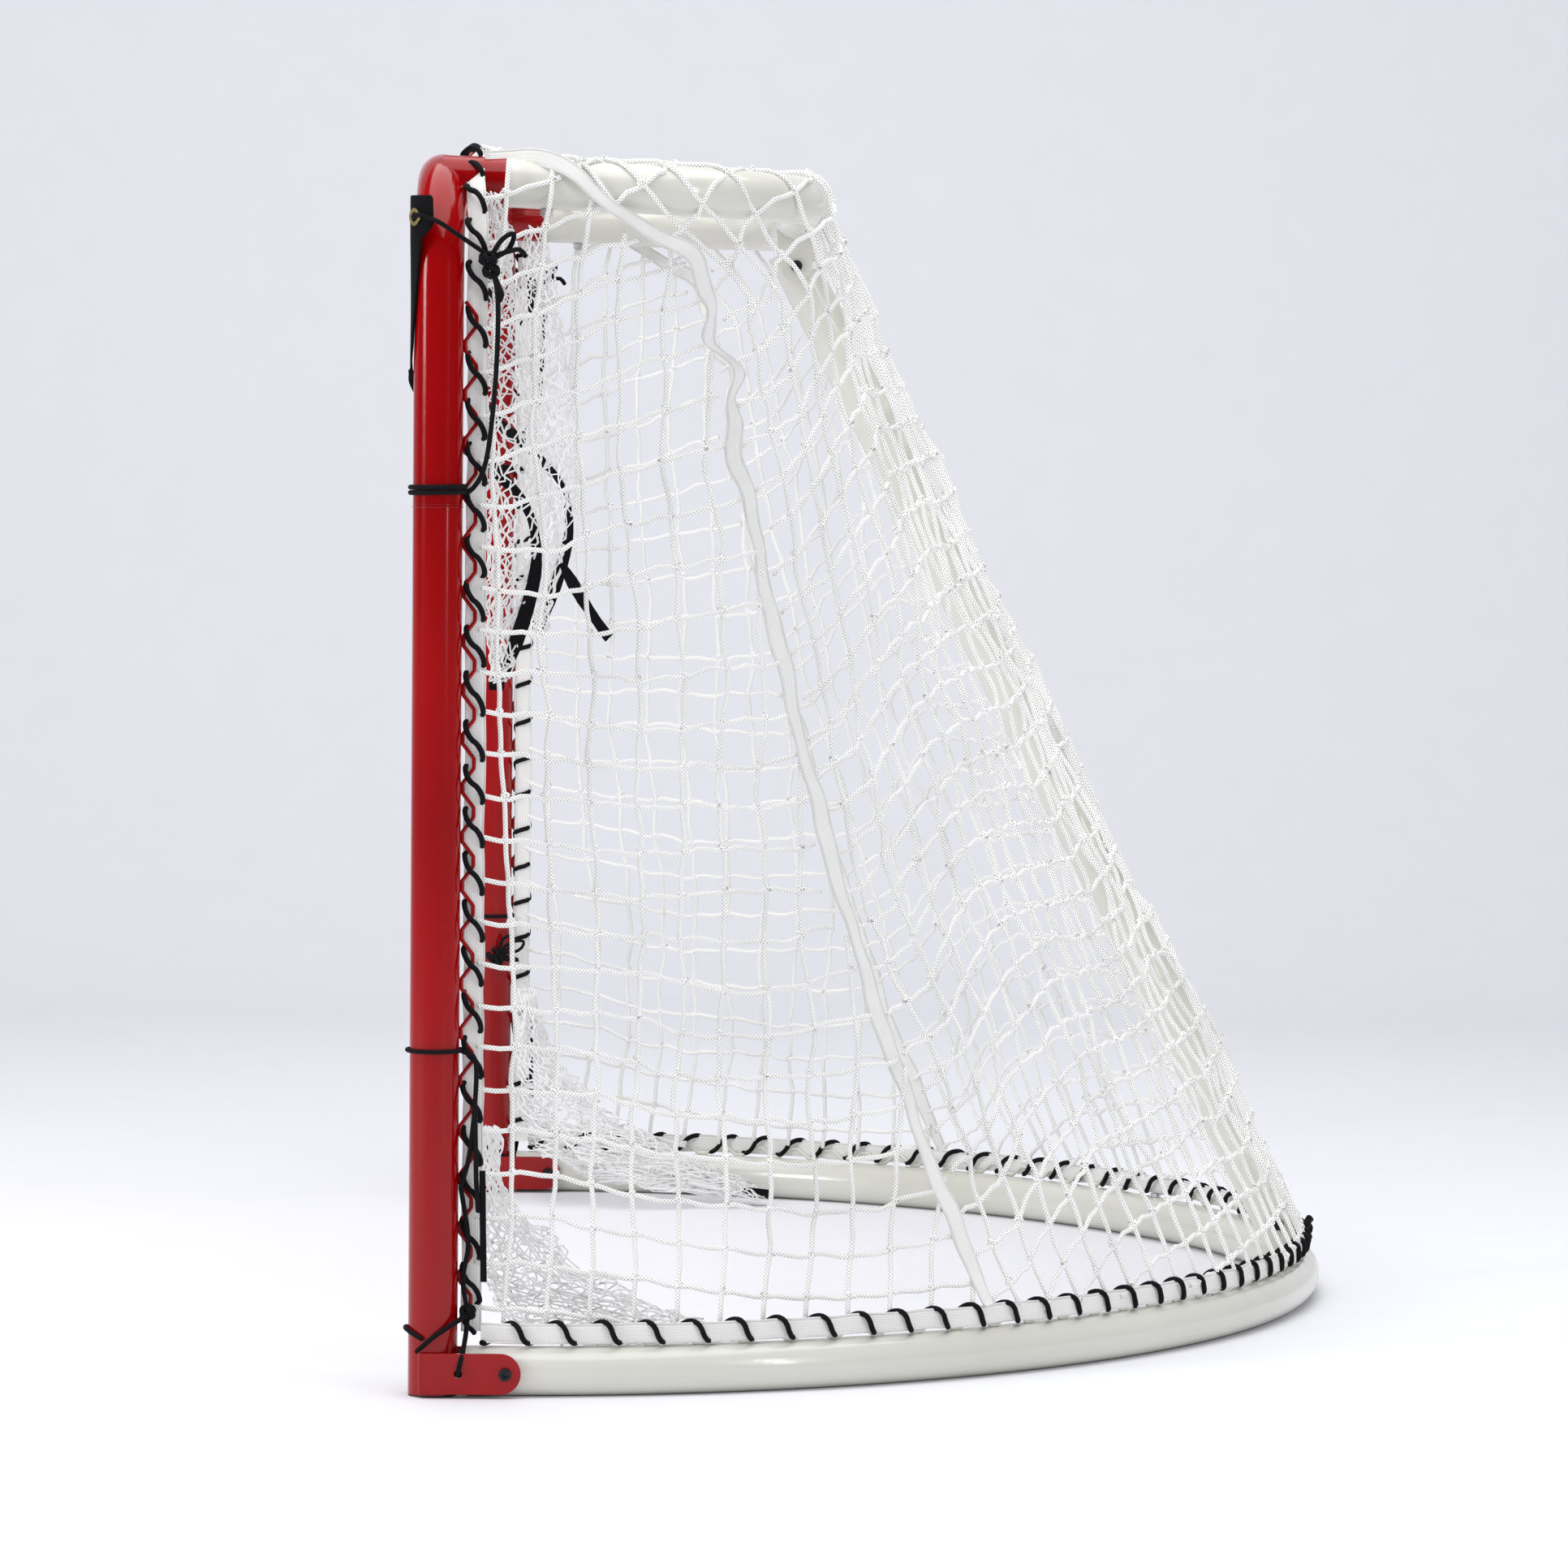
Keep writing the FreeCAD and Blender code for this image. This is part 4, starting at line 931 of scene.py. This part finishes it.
for label, mirror in (("right", RIGHT), ("left", LEFT)):
    for level, rings, lines, slant in (("top", TOP_RINGS, 15, 1.7), ("bottom", LOW_RINGS, 20, 1.3)):
        name = "pocket_%s_%s" % (level, label)
        seed = 1.3 * mirror[0] + len(level)
        piece = bag(rings, mirror, lines, slant, seed).build(name + "_mesh", MESH)
        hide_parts(name)
        if level == "top":
            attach(piece, "front_frame")
        else:
            fold_with_base(piece)


WEB_THICK = 0.0022


def webbing_strap(mesher, points, out, widths):
    """Strap along a few points, its width changing evenly along it, with slightly frayed edges."""
    path = smooth_path(points, 0.004)
    side, face = beside(path, out)
    stations = np.linspace(0, 1, len(path))
    wide = np.interp(stations, np.linspace(0, 1, len(widths)), widths)
    wide = wide * np.array([1 + 0.07 * noise.noise(Vector(p) * 160) for p in path])
    mesher.strip(path, side, face, wide, WEB_THICK, 6)


# height of the tab, and the angles round the post between which it lies
TAB = [
    (1.2240, -74, -16),
    (1.2210, -77, -12),
    (1.1930, -77, -10),
    (1.1800, -76, -38),
    (1.1600, -75, -44),
    (1.1200, -76, -54),
    (1.0700, -84, -70),
    (1.0440, -104, -92),
]
TAB_RADIUS = 0.0268
TAB_STEP = 0.003
TAB_ACROSS = 10
TAB_COLUMN = 0.0028


def wrap_tab(mesher, mirror):
    """A flap of webbing bent round the post's front, thin and closed, standing off at its free edge."""
    heights = np.arange(TAB[0][0], TAB[-1][0] - 1e-9, -TAB_STEP)
    knots = np.array(TAB)[::-1]
    points, faces, uvs = [], [], []
    for z in heights:
        first, last = (np.interp(z, knots[:, 0], knots[:, k]) for k in (1, 2))
        for skin in (0, WEB_THICK):
            for k in range(TAB_ACROSS + 1):
                share = k / TAB_ACROSS
                angle = math.radians(first + (last - first) * share)
                stand = 0.0012 * (1 - share) ** 2 * min(1.0, max(0.0, (z - 1.10) / 0.08))
                radius = TAB_RADIUS + skin + stand
                points.append((POST_X + radius * math.cos(angle), radius * math.sin(angle), z))
    side = TAB_ACROSS + 1
    row = 2 * side
    loop = list(range(side)) + list(range(row - 1, TAB_ACROSS, -1))
    for n in range(len(heights) - 1):
        here, there = n * TAB_STEP, n * TAB_STEP + TAB_STEP
        for a, b in zip(loop, loop[1:] + loop[:1]):
            faces.append((n * row + a, n * row + b, (n + 1) * row + b, (n + 1) * row + a))
            low, high = (a % side) * TAB_COLUMN, (b % side) * TAB_COLUMN
            uvs += [(low, here), (high, here), (high, there), (low, there)]
    for start in (0, (len(heights) - 1) * row):
        for k in range(TAB_ACROSS):
            quad = (start + k, start + k + 1, start + side + 1 + k, start + side + k)
            faces.append(quad[::-1] if start == 0 else quad)
            uvs += [(0, 0), (0.001, 0), (0.001, 0.001), (0, 0.001)]
    mesher.add(np.array(points) * mirror, faces, uvs)


straps = Mesher()
patches = Mesher()
for mirror in (RIGHT, LEFT):

    def strap(points, out, *widths, onto=straps):
        webbing_strap(onto, np.array(points) * mirror, np.array(out) * mirror, widths)

    # the tab curled round the front of the post, which narrows and runs down into the top pocket's edge
    wrap_tab(straps, mirror)
    strap([(0.930, -0.0290, 1.048), (0.905, -0.025, 1.03), (0.875, 0.008, 0.985), (0.848, 0.055, 0.945),
           (0.838, 0.088, 0.906), (0.832, 0.098, 0.862), (0.828, 0.093, 0.82), (0.820, 0.078, 0.770),
           (0.812, 0.060, 0.726)], (0.9, 0.35, 0.2), 0.006, 0.012, 0.016, 0.012, 0.009, 0.014, 0.016, 0.012)
    strap([(0.885, 0.040, 1.185), (0.870, 0.046, 1.15), (0.850, 0.048, 1.118)], (0.7, 0.7, 0), 0.012, 0.010)
    # the square end patch of each bag
    strap([(0.808, 0.057, 0.737), (0.806, 0.057, 0.717)], (1, 0, 0), 0.016)
    strap([(0.785, 0.322, 0.018), (0.783, 0.362, 0.014)], (0.6, 0, 0.8), 0.022, onto=patches)
    # edge of the lower pocket, stitched down the post's tape
    strap([(0.9520, 0.0500, 0.232), (0.9515, 0.0510, 0.170), (0.9525, 0.0520, 0.118)], (1, 0.2, 0), 0.0065)
# a loose strap end hangs out of the right-hand pocket only
loose_end = [(0.840, 0.124, 0.850), (0.834, 0.146, 0.812), (0.828, 0.168, 0.780), (0.827, 0.174, 0.773)]
webbing_strap(straps, loose_end, (0.9, -0.2, 0.3), (0.006, 0.013, 0.012, 0.010, 0.012))
web = straps.build("pocket_straps", BLACK_WEB)
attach(web, "front_frame")
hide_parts("pocket_webbing")
fold_with_base(patches.build("pocket_end_patches", BLACK_WEB))

# ---------------------------------------------------------------- black ties


RING_START = math.radians(80)


def ring_cord(mesher, mirror, height, radius, cord, tilt=0.0, turns=1.0):
    """Cord wound round a post."""
    count = int(48 * turns)
    path = []
    for n in range(count + 1):
        angle = math.tau * turns * n / count + RING_START
        x, y = radius * math.cos(angle), radius * math.sin(angle)
        path.append((POST_X + x, y, height + tilt * y))
    mesher.tube(np.array(path) * mirror, cord, 8)


def tight_knot(mesher, centre, size, cord, seed):
    """A hitch of several crossing loops."""
    rng = random.Random(seed)
    for k in range(3):
        axis = Vector((rng.uniform(-1, 1), rng.uniform(-1, 1), rng.uniform(-1, 1))).normalized()
        turn = axis.to_track_quat("Z", "Y").to_matrix()
        path = []
        for n in range(20):
            angle = math.tau * n / 20
            wide, tall, deep = math.cos(angle), 0.75 * math.sin(angle), 0.3 * math.sin(2 * angle)
            local = Vector((wide, tall, deep)) * size
            path.append(np.array(centre) + np.array(turn @ local))
        mesher.tube(path, cord, 7, closed=True)


ties = Mesher()
TIE_R = 0.0026
RING_R = TUBE + TIE_R
for mirror in (RIGHT, LEFT):

    def tie(points):
        ties.tube(smooth_path(np.array(points) * mirror, 0.004), TIE_R, 8)

    def knot(centre, size, seed):
        tight_knot(ties, np.array(centre) * mirror, size, TIE_R, seed)

    # from the eyelet round the outside of the post to the top knot, with its bow
    tie([(0.9590, -0.0262, 1.202), (0.9650, -0.020, 1.204), (0.9700, 0.000, 1.197), (0.962, 0.020, 1.184),
         (0.950, 0.038, 1.172), (0.944, 0.050, 1.164)])
    knot((0.945, 0.050, 1.160), 0.0085, 31)
    knot((0.947, 0.053, 1.148), 0.0070, 32)
    tie([(0.945, 0.052, 1.162), (0.955, 0.064, 1.180), (0.953, 0.076, 1.186),
         (0.945, 0.070, 1.170), (0.944, 0.053, 1.160)])
    tie([(0.945, 0.052, 1.162), (0.950, 0.070, 1.168), (0.952, 0.082, 1.170), (0.948, 0.088, 1.163)])
    tie([(0.945, 0.052, 1.158), (0.951, 0.058, 1.140), (0.955, 0.064, 1.125), (0.952, 0.062, 1.118)])
    # long elastic down to the double ring
    tie([(0.948, 0.053, 1.155), (0.953, 0.060, 1.120), (0.953, 0.059, 1.050), (0.952, 0.053, 0.980),
         (0.950, 0.046, 0.945), (0.948, 0.036, 0.928), (0.945, 0.028, 0.922)])
    for level in (0.9235, 0.9290):
        ring_cord(ties, mirror, level, RING_R, TIE_R, 0.02)
    # lower ring, and the cord that runs down to the bracket
    ring_cord(ties, mirror, 0.3545, RING_R, TIE_R * 0.9)
    tie([(0.948, 0.028, 0.354), (0.950, 0.042, 0.345), (0.951, 0.042, 0.300), (0.950, 0.036, 0.245),
         (0.950, 0.028, 0.215)])
    tie([(0.951, 0.042, 0.300), (0.952, 0.043, 0.255), (0.953, 0.044, 0.220), (0.953, 0.046, 0.190)])
    tie([(0.950, 0.028, 0.215), (0.950, 0.036, 0.160), (0.950, 0.031, 0.120), (0.950, 0.036, 0.085)])
    knot((0.947, 0.036, 0.086), 0.0075, 37)
    tie([(0.958, -0.016, 0.046), (0.967, -0.004, 0.058), (0.968, 0.006, 0.066), (0.962, 0.022, 0.076),
         (0.952, 0.036, 0.084)])
    tie([(0.948, 0.036, 0.084), (0.957, 0.034, 0.062), (0.968, 0.031, 0.045), (0.9735, 0.028, 0.032),
         (0.9715, 0.027, 0.0254), (0.962, 0.027, 0.0254)])
    ring_cord(ties, mirror, 0.0555, RING_R, TIE_R, -0.5, 0.72)
# the knot of the lower pocket's cord shows on the left post
tight_knot(ties, (-0.9115, 0.004, 0.306), 0.0085, TIE_R, 51)
tight_knot(ties, (-0.9110, 0.008, 0.300), 0.0080, TIE_R, 52)
for reach, lift in ((0.036, 0.020), (0.030, -0.004), (0.020, 0.026)):
    loop = [(0, 0), (reach * 0.5, lift * 0.9), (reach, lift), (reach * 0.8, lift * 0.4), (0, 0.004)]
    ties.tube(smooth_path([(-0.909, 0.006 + y, 0.303 + z) for y, z in loop], 0.004), TIE_R * 0.8, 7)
cordage = ties.build("post_ties", BLACK_CORD)
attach(cordage, "front_frame")
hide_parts("pocket_cords")

# the joint where the upper and lower lengths of each post meet
joints = Mesher()
for mirror in (RIGHT, LEFT):
    for level, ring in ((0.9085, 0.0007), (0.9115, 0.0005)):
        ring_cord(joints, mirror, level, TUBE + 0.0001, ring)
post_joints = joints.build("post_joint_rings", RED)
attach(post_joints, "front_frame")

# knots at the rear of the base lacing
rear_knots = Mesher()
tight_knot(rear_knots, (0.02, 0.968, 0.070), 0.008, LACE_R, 41)
tight_knot(rear_knots, (0.05, 0.966, 0.066), 0.007, LACE_R, 42)
for tail in (
    [(0.02, 0.968, 0.072), (0.01, 0.974, 0.082), (0.0, 0.978, 0.078)],
    [(0.03, 0.968, 0.070), (0.05, 0.972, 0.083), (0.06, 0.970, 0.088)],
):
    rear_knots.tube(smooth_path(tail, 0.004), LACE_R, 8)
rear_tie = rear_knots.build("base_rear_knot", BLACK_CORD)
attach(rear_tie, "base")

# ---------------------------------------------------------------- floor, light and camera


def stage_material(name, colour, roughness):
    """Pale paint on the face towards the goal. The other face is clear, so no view is shut out."""
    paint = Paint(name)
    speck = paint.noise(14, 3)
    lighter = tuple(min(1.0, c * 1.03) for c in colour)
    paint.set(Base_Color=paint.mix(speck, colour, lighter), Roughness=roughness)
    sides = paint.node("ShaderNodeMixShader")
    paint.feed(sides.inputs[0], paint.node("ShaderNodeNewGeometry").outputs["Backfacing"])
    paint.feed(sides.inputs[1], paint.shader.outputs[0])
    paint.feed(sides.inputs[2], paint.node("ShaderNodeBsdfTransparent").outputs[0])
    paint.feed(paint.tree.nodes["Material Output"].inputs["Surface"], sides.outputs[0])
    return paint.material


FLOOR_NEAR = 24.0
FLOOR_FAR = -3.5
FLOOR_SIDES = (-24.0, 24.0)
SWEEP = 1.2
WALL_TOP = 7.0


def sweep_floor():
    """Pale floor that curves up into a back wall, seen behind the goal's far side."""
    made = Mesher()
    profile = [(FLOOR_NEAR, 0.0), (FLOOR_FAR, 0.0)]
    for n in range(1, 13):
        turn = math.pi / 2 * n / 12
        profile.append((FLOOR_FAR - SWEEP * math.sin(turn), SWEEP - SWEEP * math.cos(turn)))
    profile.append((FLOOR_FAR - SWEEP, WALL_TOP))
    points = [(x, y, z) for x, z in profile for y in FLOOR_SIDES]
    faces = [(2 * n, 2 * n + 1, 2 * n + 3, 2 * n + 2) for n in range(len(profile) - 1)]
    uvs = [(0, 0), (1, 0), (1, 1), (0, 1)] * len(faces)
    made.add(points, faces, uvs)
    return made.build("floor_sweep", stage_material("floor_paint", (0.86, 0.865, 0.90), 0.75))


floor = sweep_floor()


def area_light(name, spot, target, size, power):
    lamp = bpy.data.lights.new(name, "AREA")
    lamp.shape = "RECTANGLE"
    lamp.size, lamp.size_y = size
    lamp.energy = power
    holder = bpy.data.objects.new(name, lamp)
    bpy.context.scene.collection.objects.link(holder)
    holder.location = spot
    toward = Vector(target) - Vector(spot)
    holder.rotation_euler = toward.to_track_quat("-Z", "Y").to_euler()


area_light("key_left", (2.6, -3.9, 1.9), (0.9, 0.0, 0.9), (1.0, 1.7), 70)
area_light("strip_right", (3.8, 3.2, 1.7), (0.9, 0.2, 0.9), (0.35, 1.8), 26)
area_light("top", (0.6, 0.2, 4.2), (0.2, 0.4, 0.0), (4.6, 4.6), 170)

# The world is dimmer in reflections, so that dark lines stay on the gloss tubes.
WORLD_LIGHT = 0.46
WORLD_REFLECTED = 0.07
world = bpy.data.worlds.new("studio")
bpy.context.scene.world = world
world.use_nodes = True
world.node_tree.nodes["Background"].inputs[0].default_value = (0.95, 0.955, 1.0, 1)
rays = world.node_tree.nodes.new("ShaderNodeLightPath")
strength = world.node_tree.nodes.new("ShaderNodeMapRange")
strength.inputs["To Min"].default_value = WORLD_LIGHT
strength.inputs["To Max"].default_value = WORLD_REFLECTED
world.node_tree.links.new(rays.outputs["Is Glossy Ray"], strength.inputs["Value"])
world.node_tree.links.new(strength.outputs[0], world.node_tree.nodes["Background"].inputs[1])
bpy.context.scene.view_settings.view_transform = "Standard"

CAMERA_SPOT = Vector((8.23, 0.28, 1.03))
YAW, PITCH, ROLL = (math.radians(a) for a in (0.586, 3.147, 0.5))
FOCAL_LENGTH = 164.4  # mm, on a sensor 36 mm wide
lens = bpy.data.cameras.new("camera")
lens.sensor_width = 36
lens.lens = FOCAL_LENGTH
lens.clip_end = 60
camera = bpy.data.objects.new("camera", lens)
bpy.context.scene.collection.objects.link(camera)
forward = Vector((-math.cos(PITCH) * math.cos(YAW), math.cos(PITCH) * math.sin(YAW), -math.sin(PITCH)))
right = forward.cross(Vector((0, 0, 1))).normalized()
above = right.cross(forward)
tilted = right * math.cos(ROLL) + above * math.sin(ROLL)
upright = above * math.cos(ROLL) - right * math.sin(ROLL)
turn = Matrix((tilted, upright, -forward)).transposed().to_4x4()
camera.matrix_world = Matrix.Translation(CAMERA_SPOT) @ turn
bpy.context.scene.camera = camera
